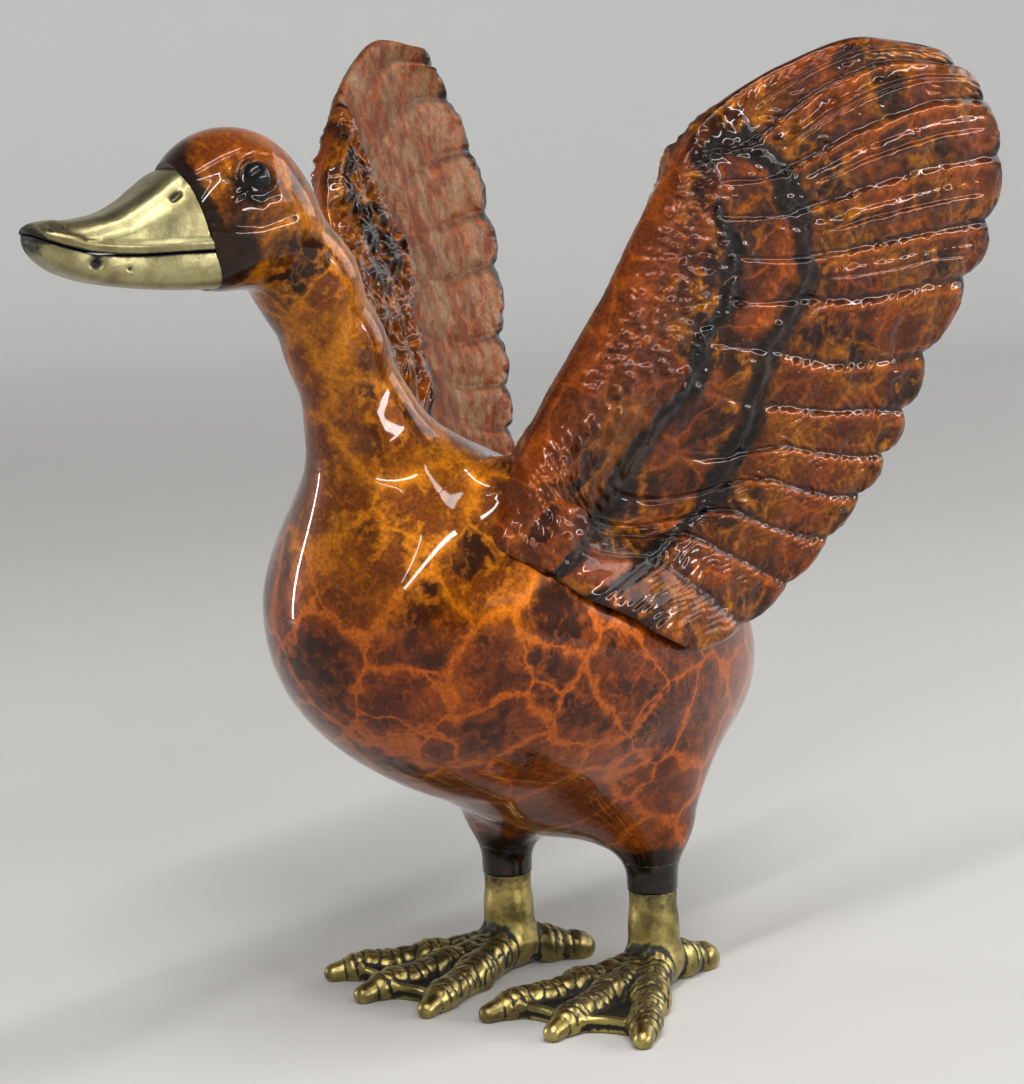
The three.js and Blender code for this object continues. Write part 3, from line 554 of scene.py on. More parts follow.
head_points, head_faces = cast_surface(head_skin, head_low, head_high, head_step)
neck_and_head = piece_from("neck_and_head_casting", head_points, head_faces)
cut_piece(neck_and_head, neck_point - neck_axis * neck_lap, -neck_axis)
cut_piece(neck_and_head, bill_seat, bill_axis)
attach(neck_and_head, "root")
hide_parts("neck_and_head")
p = corners_of(neck_and_head)
q = in_head(p)
from_bill = -((p - head_centre) @ bill_axis) + bill_forward * bill_axis[:2] @ head_ahead[:2]
forehead = ridge(np.linalg.norm((q - [0, 11.0, 10.0]) / [1.4, 1.0, 0.8], axis=1), 4.6)
mouth_corner = ridge(np.linalg.norm(q[:, 1:] - [6.5, -9.0], axis=1), 3.8)
cheek = ridge(np.linalg.norm((q[:, 1:] - [6.5, -2.0]) / [1.0, 1.5], axis=1), 6.6)
socket = ridge(np.hypot(q[:, 1] - eye_forward, q[:, 2] - eye_up), 4.2) * (np.abs(q[:, 0]) > 6)
darkened = ridge(from_bill, 2.0) + forehead + mouth_corner + 0.75 * socket + 0.58 * cheek
mark(neck_and_head, "painted", darkened)
high = smoothly(150, 172, p[:, 2])
# Below the crown the gold follows the painted lit side
mark(neck_and_head, "golden", (1 - high) * painted_lit_side(p) + high)
mark(neck_and_head, "ruddy", 0.4 * high)
# The top of the head is painted lighter towards orange: painted light from above
mark(neck_and_head, "painted_light", 0.9 * smoothly(171, 180, p[:, 2]))
mark(neck_and_head, "calm", 0.75 * high * smoothly(-6, 2, q[:, 1]))
# The creases and the cheek fold are darkened: painted shade
folds = sum(ridge(line_distance(q[:, 1:], crease), crease_width) for crease in creases)
folds += 0.5 * ridge(line_distance(q[:, 1:], cheek_fold), 0.9)
mark(neck_and_head, "painted_shade_and_grime", folds * (np.abs(q[:, 0]) > 6))
dress(neck_and_head, body_patina)


# Bill: two polished castings that meet on the mouth line and are let into the head,
# with nostrils, a fold down each side, a hard nail at the tip and a few pits from the mould.
bill_gap = 0.15
mouth_gap = 0.36
nail_middle = 41.0
# Forward of the head's middle, half width, top of the middle, top of the edge, mouth line, underside
bill_stations = [
    [8.0, 10.6, 8.6, 6.0, -7.0, -14.2],
    [13.0, 10.2, 8.4, 6.4, -7.0, -14.1],
    [17.3, 9.6, 7.2, 5.6, -7.0, -13.9],
    [20.8, 8.8, 5.0, 3.4, -7.1, -13.6],
    [24.2, 8.2, 2.7, 1.2, -7.1, -13.2],
    [28.7, 7.9, 0.6, -0.9, -6.9, -12.5],
    [33.5, 7.8, -0.3, -2.2, -6.3, -11.4],
    [38.0, 7.2, -0.6, -2.4, -5.1, -9.6],
    [41.2, 5.4, -0.9, -2.2, -3.9, -7.2],
    [42.9, 3.2, -1.5, -2.2, -3.0, -5.2],
    [43.5, 1.4, -1.9, -2.2, -2.7, -3.9],
]
nostril = (18.3, 2.6)
nostril_slit = [(nostril[0] - 1.1, nostril[1] + 0.8), nostril]
side_fold = [(14.6, 7.2), (16.6, 4.9), (21, 1.6), (26.3, -1.7), (34.8, -3.6)]
# Forward, up, width and depth
mould_pits = [
    (33.2, -8.2, 1.25, 1.1),
    (27.0, -9.4, 0.45, 0.4),
    (38.2, -1.6, 0.5, 0.3),
    (40.6, -2.0, 0.45, 0.3),
]


# A smooth curve through rows of values, at places counted in rows
def through(rows, places):
    rows = np.array(rows, float)
    places = np.asarray(places, float)
    last = len(rows) - 1
    i = np.clip(np.floor(places).astype(int), 0, last - 1)
    f = (places - i).reshape(places.shape + (1,) * (rows.ndim - 1))
    before, a = rows[np.maximum(i - 1, 0)], rows[i]
    b, after = rows[i + 1], rows[np.minimum(i + 2, last)]
    slope_a, slope_b = (b - before) / 2, (after - a) / 2
    return (
        a
        + slope_a * f
        + (3 * (b - a) - 2 * slope_a - slope_b) * f**2
        + (2 * (a - b) + slope_a + slope_b) * f**3
    )


# The same line with its points spaced evenly along it
def evenly(points, count):
    steps = np.linalg.norm(np.diff(points, axis=0), axis=1)
    far = np.concatenate([[0], np.cumsum(steps)])
    wanted = np.linspace(0, far[-1], count)
    return np.stack([np.interp(wanted, far, points[:, i]) for i in range(points.shape[1])], 1)


# A closed skin over rings of points, capped at both ends
def ring_faces(rows, columns):
    i, j = np.meshgrid(np.arange(rows - 1), np.arange(columns), indexing="ij")
    k = (j + 1) % columns
    quads = np.stack([i * columns + j, i * columns + k, (i + 1) * columns + k, (i + 1) * columns + j], -1)
    faces = quads.reshape(-1, 4).tolist()
    faces.append(list(range(columns))[::-1])
    faces.append(list(range((rows - 1) * columns, rows * columns)))
    return faces


def face_outwards(piece):
    bm = bmesh.new()
    bm.from_mesh(piece.data)
    bmesh.ops.recalc_face_normals(bm, faces=bm.faces)
    for face in bm.faces:
        face.smooth = len(face.verts) <= 4
    bm.to_mesh(piece.data)
    bm.free()


# Bare polished bronze, darker in its folds and pits: painted shade with some grime
def polished_metal(name, light, dark, shade_and_grime, rough, grain):
    material = new_material(name)
    tree = material.node_tree
    place = in_millimetres(tree)
    cloud = noise(tree, place, 0.16, 4.0, 0.6).outputs["Fac"]
    fine = noise(tree, place, grain, 5.0, 0.65).outputs["Fac"]
    shade_and_grime_mark = attribute(tree, "painted_shade_and_grime")
    metal = mixed(tree, stepped(tree, cloud, 0.35, 0.7), light, dark)
    metal = mixed(tree, stepped(tree, fine, 0.5, 0.85), metal, dark)
    shade_and_grime_level = plus(tree, shade_and_grime_mark, times(tree, calc(tree, "SUBTRACT", fine, 0.5), 0.7))
    shade_and_grime_share = stepped(tree, shade_and_grime_level, 0.3, 0.75)
    metal = mixed(tree, shade_and_grime_share, metal, shade_and_grime)
    shine = plus(tree, rough, times(tree, fine, 0.22))
    shine = plus(tree, shine, times(tree, shade_and_grime_share, 0.25))
    bump = node(tree, "ShaderNodeBump", {"Strength": 0.35, "Distance": 0.00025, "Height": fine})
    bare = one_less(tree, times(tree, shade_and_grime_share, 0.6))
    surface = {"Base Color": metal, "Metallic": bare, "Roughness": shine, "Normal": bump.outputs[0]}
    finish_with(tree, surface)
    return material


bill_metal = polished_metal(
    "polished_bill_brass", tint(0.66, 0.63, 0.46), tint(0.5, 0.46, 0.32), tint(0.07, 0.06, 0.04), 0.22, 0.9
)


def bill_half(name, upper):
    rows, columns = 170, 110
    rings = []
    for forward, half, top, edge, mouth, under in through(bill_stations, np.linspace(0, 10, rows)):
        s = np.sin(np.linspace(-math.pi / 2, math.pi / 2, 400))
        bow = np.sqrt(1 - np.abs(s) ** 3.64)
        if upper:
            base = mouth + mouth_gap / 2
            crest = edge + (top - edge) * bow**3
            z = base + (crest - base) * bow**0.45
        else:
            base = mouth - mouth_gap / 2
            z = base + (under - base) * bow**0.6
            s = s * 0.97
        outside = evenly(np.stack([s * half, z], 1), columns)
        inside = np.stack([np.linspace(outside[-1, 0], outside[0, 0], 14)[1:-1], np.full(12, base)], 1)
        rings.append([(x, forward, up) for x, up in np.concatenate([outside, inside])])
    grid = np.array(rings)
    rim = grid.shape[1]
    along_row = np.gradient(grid, axis=0)
    around = np.roll(grid, -1, axis=1) - np.roll(grid, 1, axis=1)
    normal = np.cross(around, along_row)
    normal /= np.maximum(np.linalg.norm(normal, axis=2, keepdims=True), 1e-9)
    if not upper:
        normal = -normal
    outer = np.zeros(rim)
    outer[:columns] = np.clip(np.minimum(np.arange(columns), columns - 1 - np.arange(columns)) / 2, 0, 1)
    flat = grid.reshape(-1, 3)
    sideways = flat[:, 1:]
    rise = np.zeros(len(flat))
    off_middle = np.clip((np.abs(flat[:, 0]) - 3) / 2, 0, 1)
    if upper:
        rise -= 0.7 * ridge(line_distance(sideways, nostril_slit), 0.55) * off_middle
        rise -= 0.25 * ridge(line_distance(sideways, side_fold), 0.8) * off_middle
        mouth_line = [(row[0], row[4]) for row in bill_stations]
        rise += 0.45 * ridge(line_distance(sideways, mouth_line) - 1.5, 0.8) * off_middle
        nail = np.hypot((flat[:, 1] - nail_middle) / 3.6, flat[:, 0] / 3.4)
        rise += 0.3 * np.clip((1.15 - nail) / 0.3, 0, 1)
    for forward, up, across, deep in mould_pits:
        apart = np.hypot(sideways[:, 0] - forward, (sideways[:, 1] - up) * 1.3)
        rise -= deep * ridge(apart, across) * np.clip(flat[:, 0] / 3, 0, 1)
    shaped = grid + (rise.reshape(grid.shape[:2]) * outer)[:, :, None] * normal
    piece = piece_from(name + "_casting", from_head(shaped.reshape(-1, 3)), ring_faces(rows, rim))
    face_outwards(piece)
    cut_piece(piece, bill_seat + bill_axis * bill_gap, -bill_axis)
    q = in_head(corners_of(piece))
    mouth = np.interp(q[:, 1], [row[0] for row in bill_stations], [row[4] for row in bill_stations])
    # Darker along the mouth line, the side folds, the nostrils and the mould pits as painted shade, and
    # darker at the nail
    shade_and_grime = ridge(q[:, 2] - mouth, 0.55) + ridge(line_distance(q[:, 1:], side_fold), 0.5) * 0.35
    hole = ridge(line_distance(q[:, 1:], nostril_slit), 0.6)
    shade_and_grime += 0.7 * hole * (np.abs(q[:, 0]) > 2) + 0.7 * smoothly(40.5, 43, q[:, 1])
    for forward, up, across, deep in mould_pits:
        shade_and_grime += ridge(np.hypot(q[:, 1] - forward, q[:, 2] - up), across * 1.1) * (q[:, 0] > 0)
    mark(piece, "painted_shade_and_grime", shade_and_grime)
    dress(piece, bill_metal)
    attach(piece, "root")
    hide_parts(name)


bill_half("upper_bill", True)
bill_half("lower_bill", False)


# Eyes: glossy black beads, pressed into round sockets that are sunk into the head casting.
# Each shows as a dark dome inside its chased lid.
eye_glass = new_material("glossy_black_eye")
eye_tree = eye_glass.node_tree
depth = stepped(eye_tree, noise(eye_tree, in_millimetres(eye_tree), 0.8).outputs["Fac"], 0.5, 0.8)
iris = mixed(eye_tree, depth, tint(0.02, 0.02, 0.025), tint(0.09, 0.05, 0.03))
eye_gloss = {"Roughness": 0.3, "Specular IOR Level": 0.1, "Coat Weight": 1.0, "Coat IOR": 1.25}
finish_with(eye_tree, {"Base Color": iris, **eye_gloss})


def bead(name):
    low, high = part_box(name)
    mesh = bpy.data.meshes.new(name + "_bead")
    bm = bmesh.new()
    bmesh.ops.create_uvsphere(bm, u_segments=64, v_segments=32, radius=eye_radius / 1000)
    bmesh.ops.translate(bm, verts=bm.verts, vec=(low + high) / 2)
    for face in bm.faces:
        face.smooth = True
    bm.to_mesh(mesh)
    bm.free()
    piece = bpy.data.objects.new(name + "_bead", mesh)
    bpy.context.scene.collection.objects.link(piece)
    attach(piece, "root")
    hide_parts(name)
    dress(piece, eye_glass)


bead("left_eye")
bead("right_eye")

# Wings: one-piece castings pinned to the flanks, modelled in wax as rows of overlapping feathers.
# Each line runs along a gap between two feathers, from the leading edge over the two dark bands
# to the trailing edge, as chord towards the tail and span upwards from the root's front corner.
wing_lines = [
    [(31.6, 64), (34, 67.5), (41, 72.9), (52.4, 78.7), (68, 83.4), (86, 81.4)],
    [(28.9, 60.4), (34.6, 63.1), (45.1, 65.1), (58.8, 74), (74.9, 79.3), (93.5, 78)],
    [(26.6, 56.8), (37.5, 57.5), (51.3, 58.6), (68.1, 66.3), (85.8, 71.3), (100.8, 71)],
    [(24.4, 52.6), (38.4, 50.8), (55.9, 50.8), (74.6, 55.6), (90.4, 58.6), (106.4, 59.6)],
    [(22.3, 47.8), (42.5, 42.7), (60.2, 41.5), (76.6, 43.3), (90.8, 45.1), (105.8, 45.8)],
    [(19.9, 42.1), (42.6, 34), (59.3, 32.8), (76, 32), (90.3, 33.6), (102.5, 33.7)],
    [(17.2, 35.7), (38.4, 26.1), (54.3, 22.8), (68.6, 18.9), (81.8, 18.3), (95, 18.1)],
    [(14.3, 29.9), (36.7, 19.1), (53.2, 13.3), (67.3, 8.9), (79.7, 8), (91.4, 6.4)],
    [(11.2, 24.1), (34, 12.1), (52.4, 5.3), (66.5, 0.5), (77.8, -1.8), (87.5, -3)],
    [(8.4, 18.7), (30.8, 5.1), (50.2, -1), (64, -6.9), (74.2, -10), (82.9, -11.4)],
    [(5.8, 13.4), (26.5, -2.2), (44.8, -7.7), (56.5, -13.5), (67.2, -17.9), (76.6, -20.5)],
    [(3.2, 7.6), (21.7, -8.4), (38, -13), (49, -19.3), (58.7, -24.4), (68.1, -30)],
    [(0.6, 1.6), (16.7, -13.4), (32.3, -18.5), (41.5, -24.8), (49.4, -30.8), (57.6, -37.8)],
    [(-4, -12), (11.6, -20.7), (20.5, -26.4), (28.9, -30.6), (36.3, -35.4), (45.5, -41.4)],
]
line_places = [0, 0.27, 0.47, 0.66, 0.83, 1]
wing_height = 83.6
wing_edge = 2.4
wing_thick = 3.4
wing_tip_thick = 3.0
wing_arm = 2.6
wing_arm_at = 0.1
wing_arm_width = 0.11
wing_rows = 185
feather_columns = 20
patch_lumps = 8.0
band_width = 0.046
wing_bow = 0.6
tip_curl = 2.6
off_flank = 1.6
flank_easing = 8.0
wing_root = np.array([0, -44.1, 114])
front_peg = (13, -9)
wrist_line = [(34, 62), (39, 65), (46, 63)]
# How far out the root stands, its turns, how much higher the tip is, how far the skin stays clear of
# the front dowel, and the way in which the plate is moved off the flank
wing_sides = {
    "left": dict(side=1, out=24.9, sweep=19.6, lean=15.2, extra=0.0, free=2.6, away=(0.66, -0.74, 0.1)),
    "right": dict(side=-1, out=20.9, sweep=21.4, lean=13.8, extra=5.2, free=5.0, away=(1, 0, 0)),
}


# Small smooth random waves, the same on each run
def ripples(x, y, size, seed):
    rng = np.random.default_rng(seed)
    total = np.zeros(np.shape(x))
    for _ in range(9):
        angle, start = rng.uniform(0, 2 * math.pi, 2)
        wave = 2 * math.pi / size * rng.uniform(0.7, 1.4)
        total += np.sin((x * math.cos(angle) + y * math.sin(angle)) * wave + start)
    return total / 4


# Small feathers laid over each other: the distance from each one's middle and where it lies from it
def small_feathers(x, y, size, seed):
    shift = np.random.default_rng(seed).uniform(-0.33, 0.33, (64, 64, 2))
    i, j = np.floor(x / size).astype(int), np.floor(y / size).astype(int)
    nearest = np.full(np.shape(x), 1e9)
    ahead = np.zeros(np.shape(x))
    aside = np.zeros(np.shape(x))
    for di in (-1, 0, 1):
        for dj in (-1, 0, 1):
            moved = shift[(i + di) % 64, (j + dj) % 64]
            dx = x / size - (i + di + 0.5 + moved[..., 0])
            dy = y / size - (j + dj + 0.5 + moved[..., 1])
            far = np.hypot(dx, dy)
            closer = far < nearest
            nearest = np.where(closer, far, nearest)
            ahead = np.where(closer, dx, ahead)
            aside = np.where(closer, dy, aside)
    return nearest, ahead, aside


# Short raised ridges strewn over a face, each lying a little askew
def tufts(x, y, long, short, turn, seed):
    rng = np.random.default_rng(seed)
    shift = rng.uniform(-0.4, 0.4, (64, 64, 2))
    askew = rng.uniform(-0.45, 0.45, (64, 64))
    height = rng.uniform(0, 1, (64, 64)) ** 0.6
    i, j = np.floor(x / long).astype(int), np.floor(y / short).astype(int)
    highest = np.zeros(np.shape(x))
    for di in (-1, 0, 1):
        for dj in (-1, 0, 1):
            which = (i + di) % 64, (j + dj) % 64
            dx = x - (i + di + 0.5 + shift[which][..., 0]) * long
            dy = y - (j + dj + 0.5 + shift[which][..., 1]) * short
            c, s = np.cos(askew[which] + turn), np.sin(askew[which] + turn)
            along, across = dx * c + dy * s, dy * c - dx * s
            across = across + 0.1 * along**2
            bump = np.exp(-np.square(along / (0.42 * long)) - np.square(across / (0.3 * short)))
            highest = np.maximum(highest, height[which] * bump)
    return highest


# How far feathers swell and dip on a face, with the gaps between them, and where their barbs run
def feather_relief(u, t, place, outer):
    f = t - np.floor(np.minimum(t, len(wing_lines) - 1.001))
    x, y = place[..., 0], place[..., 1]
    band_2, band_1 = line_places[1:3]
    upper = 1 - smoothly(3.5, 6, t)
    gap_line = ridge(np.minimum(f, 1 - f), 0.04 + 0.03 * (1 - upper))
    slope = 0.55 * (1 - f) ** 0.8 + 0.5 * (1 - (2 * f - 1) ** 2)
    raised = ridge(f - 0.12, 0.04)
    shafts = ridge(f - 0.42, 0.045) + ridge(f - 0.6, 0.045) - 0.5 * ridge(f - 0.51, 0.04)
    shafts = shafts * smoothly(band_1 + 0.03, band_1 + 0.1, u) * (1 - smoothly(0.9, 0.97, u))
    broken = smoothly(-0.1, 0.8, ripples(x, y, 8.0, 31))
    along_feather = u * 62 - 9 * np.abs(f - 0.51) + 0.8 * ripples(x, y, 6.0, 3)
    barbs = np.sin(along_feather * 2 * math.pi / 2.2)
    flights = 0.7 * slope - 0.65 * gap_line + (0.06 + 0.12 * upper) * raised + 0.8 * upper * shafts
    flights += (0.07 + 0.25 * broken) * barbs * smoothly(0.04, 0.14, np.abs(f - 0.51))
    flights += 0.22 * ripples(x, y, 9.0, 33) + 0.1 * ripples(x, y, 4.0, 34)
    tiles = 0.85 + 0.4 * slope - 0.6 * gap_line + 0.12 * raised + 0.2 * ripples(x, y, 6.0, 5)
    lower = smoothly(7, 9, t)
    tiles += (0.5 - 0.35 * lower) * tufts(x, y, 3.4, 2.2, -0.5, 43)
    drooping = -1.1 * (1 - smoothly(0, 26, y))
    clumps = small_feathers(x + 0.35 * y, y, 7.5, 7)[0]
    scales = 1.0 + 0.55 * (1 - np.clip(clumps * 1.5, 0, 1) ** 2)
    coarse = tufts(x, y, 3.4, 2.0, drooping, 41)
    scales += 1.05 * coarse + 0.75 * tufts(x + 0.7, y, 2.8, 1.7, drooping + 0.3, 42)
    scales = 1.3 + (scales - 1.3) * smoothly(0.01, 0.05, u)
    flight = smoothly(band_1 - 0.01, band_1 + 0.02, u)
    lesser = 1 - smoothly(band_2 - 0.01, band_2 + 0.02, u)
    outside = flights * flight + scales * lesser + tiles * (1 - flight) * (1 - lesser)
    along_bands = ridge(u - band_1, 0.05) + ridge(u - band_2, 0.05)
    outside += (0.6 - 0.4 * lower) * tufts(x, y, 4.0, 2.1, -0.15, 45) * along_bands * smoothly(0.5, 1.5, t)
    far, ahead, aside = small_feathers(x, y + 0.3 * x, patch_lumps, 11)
    petals = np.cos(np.arctan2(aside, ahead) * 8 + 2 * ripples(x, y, 9.0, 12)) * np.clip(far * 2.2, 0, 1)
    lumps = 0.7 + 5.0 * (1 - np.clip(far * 1.3, 0, 1) ** 2) + 0.9 * petals + 0.4 * ripples(x, y, 2.8, 13)
    near_edge = smoothly(0.5, 0.85, u)
    plain = (0.4 + 0.9 * near_edge) * slope - 0.8 * near_edge * ridge(np.minimum(f, 1 - f), 0.08)
    plain += 0.35 * ripples(x, y, 9.0, 37) + 0.12 * ripples(x, y, 3.5, 38)
    plain += (1.0 + 0.5 * ripples(x, y, 4.0, 39)) * ridge(u - 0.955, 0.03)
    inner_front = smoothly(0.36, 0.42, u + 0.02 * ripples(x, y, 9.0, 15))
    inner = lumps * (1 - inner_front) + plain * inner_front
    return outside if outer else inner, barbs


wing_patina = patina_material(
    "feathered_wing_patina",
    pool_size=11.0,
    rim_size=0.8,
    swirl_size=9.0,
    rim_share=0.45,
    patches=0.8,
    patch_size=11.0,
)


# One loop around a plate: its front face, then its back face the other way
def around(front, back):
    return np.concatenate([front, back[:, ::-1]], axis=1)


def wing_piece(name, side, out, sweep, lean, extra, free, away):
    rows = wing_rows
    columns = (len(wing_lines) - 1) * feather_columns + 1
    u = np.linspace(0, 1, rows)
    t = np.linspace(0, len(wing_lines) - 1, columns)
    lines = through(wing_lines, t)
    plan = through(np.moveaxis(lines, 1, 0), np.interp(u, line_places, range(6)))
    f = t - np.floor(np.minimum(t, len(wing_lines) - 1.001))
    reach = 1.0 + 1.8 * smoothly(2.5, 4.5, t) * (1 - smoothly(7, 10, t))
    tip = (1 - np.abs(2 * f - 1) ** 2.2) * reach
    outward_edge = np.stack([np.gradient(plan[-1, :, 1]), -np.gradient(plan[-1, :, 0])], 1)
    outward_edge /= -np.linalg.norm(outward_edge, axis=1, keepdims=True)
    ease = smoothly(0.82, 1, u)[:, None, None]
    plan = plan + ease * (tip - 0.8)[None, :, None] * outward_edge[None, :, :]
    turned, leaning = math.radians(sweep), math.radians(lean)
    chord = np.array([math.sin(turned), math.cos(turned), 0])
    flat = np.array([math.cos(turned), -math.sin(turned), 0])
    upward = np.array([0, 0, 1.0])
    span = flat * math.sin(leaning) + upward * math.cos(leaning)
    outward = flat * math.cos(leaning) - upward * math.sin(leaning)
    root = wing_root + np.array([out, 0, 0])
    share, feather = np.meshgrid(u, t, indexing="ij")
    x, y = plan[..., 0], plan[..., 1]
    up_share = np.clip(y / wing_height, 0, 1)
    rise = y + extra * up_share**2
    bow = wing_bow * 4 * share * (1 - share)
    bow = bow - tip_curl * (1 - smoothly(0, 2.6, feather)) ** 1.5
    bow = bow - 0.6 * tip_curl * smoothly(0.78, 1, share) * (1 - smoothly(5, 9, feather))
    middle = root + x[..., None] * chord + rise[..., None] * span + bow[..., None] * outward
    middle = middle.reshape(-1, 3)
    direction = np.array(away) / np.linalg.norm(away)
    level = -duck_skin(middle)
    h = np.clip(0.5 + 0.5 * (-off_flank - level) / flank_easing, 0, 1)
    wanted = -(-off_flank + (level + off_flank) * h - flank_easing * h * (1 - h))
    lifted = np.zeros(len(middle))
    for _ in range(24):
        short = wanted - duck_skin(middle + direction * lifted[:, None])
        lifted += np.clip(short, 0, None) * 0.8
    middle = middle + direction * lifted[:, None]
    low = 1 - smoothly(-4, 20, y)
    from_peg = np.hypot(x - front_peg[0], y - front_peg[1])
    hold = (low * (1 - smoothly(0.2, 0.62, share)) * smoothly(free, free + 5, from_peg)).reshape(-1, 1)
    seated = middle
    for _ in range(3):
        seated = seated - slope_of(duck_skin, seated, 0.3) * (duck_skin(seated) - 0.2)[:, None]
    middle = (middle + (seated - middle) * hold).reshape(rows, columns, 3)
    thick = wing_thick + (wing_tip_thick - wing_thick) * up_share
    half = (thick + (wing_edge - thick) * np.clip(share * 1.25, 0, 1)) / 2
    arm = wing_arm * (1 - smoothly(0, 64, y)) * ridge(share - wing_arm_at, wing_arm_width)
    arm = arm * (0.25 + 0.75 * smoothly(-10, 14, y))
    edge = np.minimum(np.minimum(share, 1 - share) / 0.045, np.minimum(feather / 0.9, (13 - feather) / 0.4))
    rim = np.sqrt(np.clip(edge, 0, 1)) * 0.75 + 0.25
    sunk = low * (1 - smoothly(0.0, 0.16, share)) * 2.0
    sunk += smoothly(12.2, 13, feather) * (1 - smoothly(0.25, 0.6, share)) * 1.6
    over_peg = 0.17 * free * (1 - smoothly(2.5, 7, from_peg))
    faces = []
    for face, outer in ((1, True), (-1, False)):
        relief, barbs = feather_relief(share, feather, plan, outer)
        scale = 1.0 if outer else 0.55
        swell = over_peg if outer else 0
        lift = face * (half + arm + scale * relief * np.clip(share / 0.06, 0.2, 1) + swell) * rim - sunk
        points = middle + lift[..., None] * outward
        points[..., 0] *= side
        faces.append(points)
    loop = around(*faces)
    count = 2 * columns
    piece = piece_from(name + "_wing_casting", loop.reshape(-1, 3), ring_faces(rows, count)[:-2])
    bm = bmesh.new()
    bm.from_mesh(piece.data)
    bm.verts.ensure_lookup_table()
    for row in (0, rows - 1):
        for j in range(columns - 1):
            a, b = row * count + j, row * count + count - 1 - j
            bm.faces.new([bm.verts[a], bm.verts[a + 1], bm.verts[b - 1], bm.verts[b]])
    bm.to_mesh(piece.data)
    bm.free()
    face_outwards(piece)
    wobble = 0.012 * ripples(x, y, 16.0, 21)
    outer_band = ridge(share - line_places[2] + wobble, band_width) * smoothly(0.2, 1.0, feather)
    inner_band = 0.95 * ridge(share - line_places[1] + wobble, band_width * 0.85)
    bands = np.maximum(outer_band, inner_band * smoothly(1.6, 3, feather))
    from_wrist = line_distance(plan.reshape(-1, 2), wrist_line).reshape(share.shape)
    bands = np.maximum(bands, ridge(from_wrist, 2.8))
    scallop = np.cos(feather * 2 * math.pi)
    dark_tips = smoothly(0.93, 1.0, share + 0.02 * scallop) * (1 - 0.6 * smoothly(4, 9, feather))
    outer_paint = np.maximum(bands, 0.75 * dark_tips)
    far = small_feathers(x, y + 0.3 * x, patch_lumps, 11)[0]
    picked = smoothly(28, 38, y) * smoothly(66, 58, y)
    picked = picked * smoothly(-0.8, 0.2, ripples(x, y, 14.0, 27))
    inner_paint = 0.9 * smoothly(0.7, 0.35, far) * picked * smoothly(0.36, 0.3, share)
    inner_paint = inner_paint * smoothly(0.05, 0.12, share)
    inner_paint += 0.75 * smoothly(0.9, 0.96, share + 0.01 * scallop)
    inner_paint += 0.42 * ridge(share - 0.47 + wobble, 0.06) + 0.7 * ridge(share - 0.375, 0.02)
    # Darker in the gaps between feathers, between the small feathers and in the barbs' troughs: painted
    # shade
    gaps = ridge(np.minimum(feather % 1, 1 - feather % 1), 0.06) * smoothly(0.2, 0.5, share)
    # The feathers' raised edges are painted lighter: painted highlight
    edges = ridge(feather % 1 - 0.14, 0.05) * smoothly(0.3, 0.6, share)
    barb_shade = 0.35 * smoothly(0.1, -0.8, barbs) * smoothly(line_places[2], 0.55, share)
    clumps = small_feathers(x + 0.35 * y, y, 7.5, 7)[0]
    small = smoothly(0.5, 0.75, clumps) * smoothly(0.08, 0.15, share) * (share < line_places[1])
    goldish = 0.95 * smoothly(-0.65, 0.4, ripples(x, y, 24.0, 23)) * smoothly(0.05, 0.2, share)
    olive = 0.85 * smoothly(0.38, 0.3, share)
    behind_patch = smoothly(0.34, 0.44, share) * smoothly(0.97, 0.91, share)
    layers = {
        "bare": (0 * share, behind_patch),
        "painted": (outer_paint, inner_paint),
        "painted_shade_and_grime": (gaps + 0.5 * small + barb_shade, 0.8 * gaps * smoothly(0.6, 0.9, share)),
        "painted_light": (edges, 0.6 * edges),
        "golden": (goldish, olive),
        "ruddy": (0.5 * (1 - smoothly(0.05, 0.14, share)), 0.7 + 0 * share),
        "dull": (0 * share, behind_patch),
    }
    for layer, values in layers.items():
        mark(piece, layer, around(*values))
    dress(piece, wing_patina)
    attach(piece, "root")
    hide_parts(name + "_wing")


for name, values in wing_sides.items():
    wing_piece(name, **values)

# Tail: a short upturned fan of five feathers, cast by itself and given the wings' patina.
# A dowel pins its root into the rump.
tail_root_y = 27
tail_root_z = 81
tail_length = 35
tail_rise = 25
tail_root_width = 26
tail_width = 36
tail_thick = 15
tail_edge = 2.4
tail_feathers = 5
rows, columns = 70, 150
share, across = np.meshgrid(np.linspace(0, 1, rows), np.linspace(-1, 1, columns + 1), indexing="ij")
f = (across + 1) / 2 * tail_feathers % 1
scallop = np.abs(2 * f - 1) ** 2
length = tail_length * (1 - 0.16 * across**2) - 1.6 * scallop
half_width = (tail_root_width + (tail_width - tail_root_width) * share) / 2
thickness = tail_edge + (tail_thick - tail_edge) * (1 - share) ** 1.6
thickness = thickness * np.sqrt(1 - 0.85 * across**2)
edge = np.minimum((1 - np.abs(across)) / 0.04, (1 - share) / 0.04)
rim = 0.35 + 0.65 * np.sqrt(np.clip(edge, 0, 1))
climb = tail_rise * (0.6 * share**2 + 0.4 * share) - 3 * across**2 * share
vane = (0.55 * (1 - scallop) - 0.6 * ridge(np.minimum(f, 1 - f), 0.05) + 0.3 * ridge(f - 0.5, 0.05)) * share
barb = 0.07 * np.sin((np.abs(f - 0.5) * 9 + share * 22) * 2 * math.pi / 1.4) * share
tail_rings = []
for face in (1, -1):
    up = tail_root_z + climb + face * (thickness / 2 + (vane + barb) * (1 if face > 0 else 0.5)) * rim
    tail_rings.append(np.stack([across * half_width, tail_root_y + length * share, up], -1))
loop = around(*tail_rings)
tail = piece_from("tail_casting", loop.reshape(-1, 3), ring_faces(rows, loop.shape[1]))
face_outwards(tail)
mark(tail, "ruddy", np.full(loop.shape[:2], 0.6))
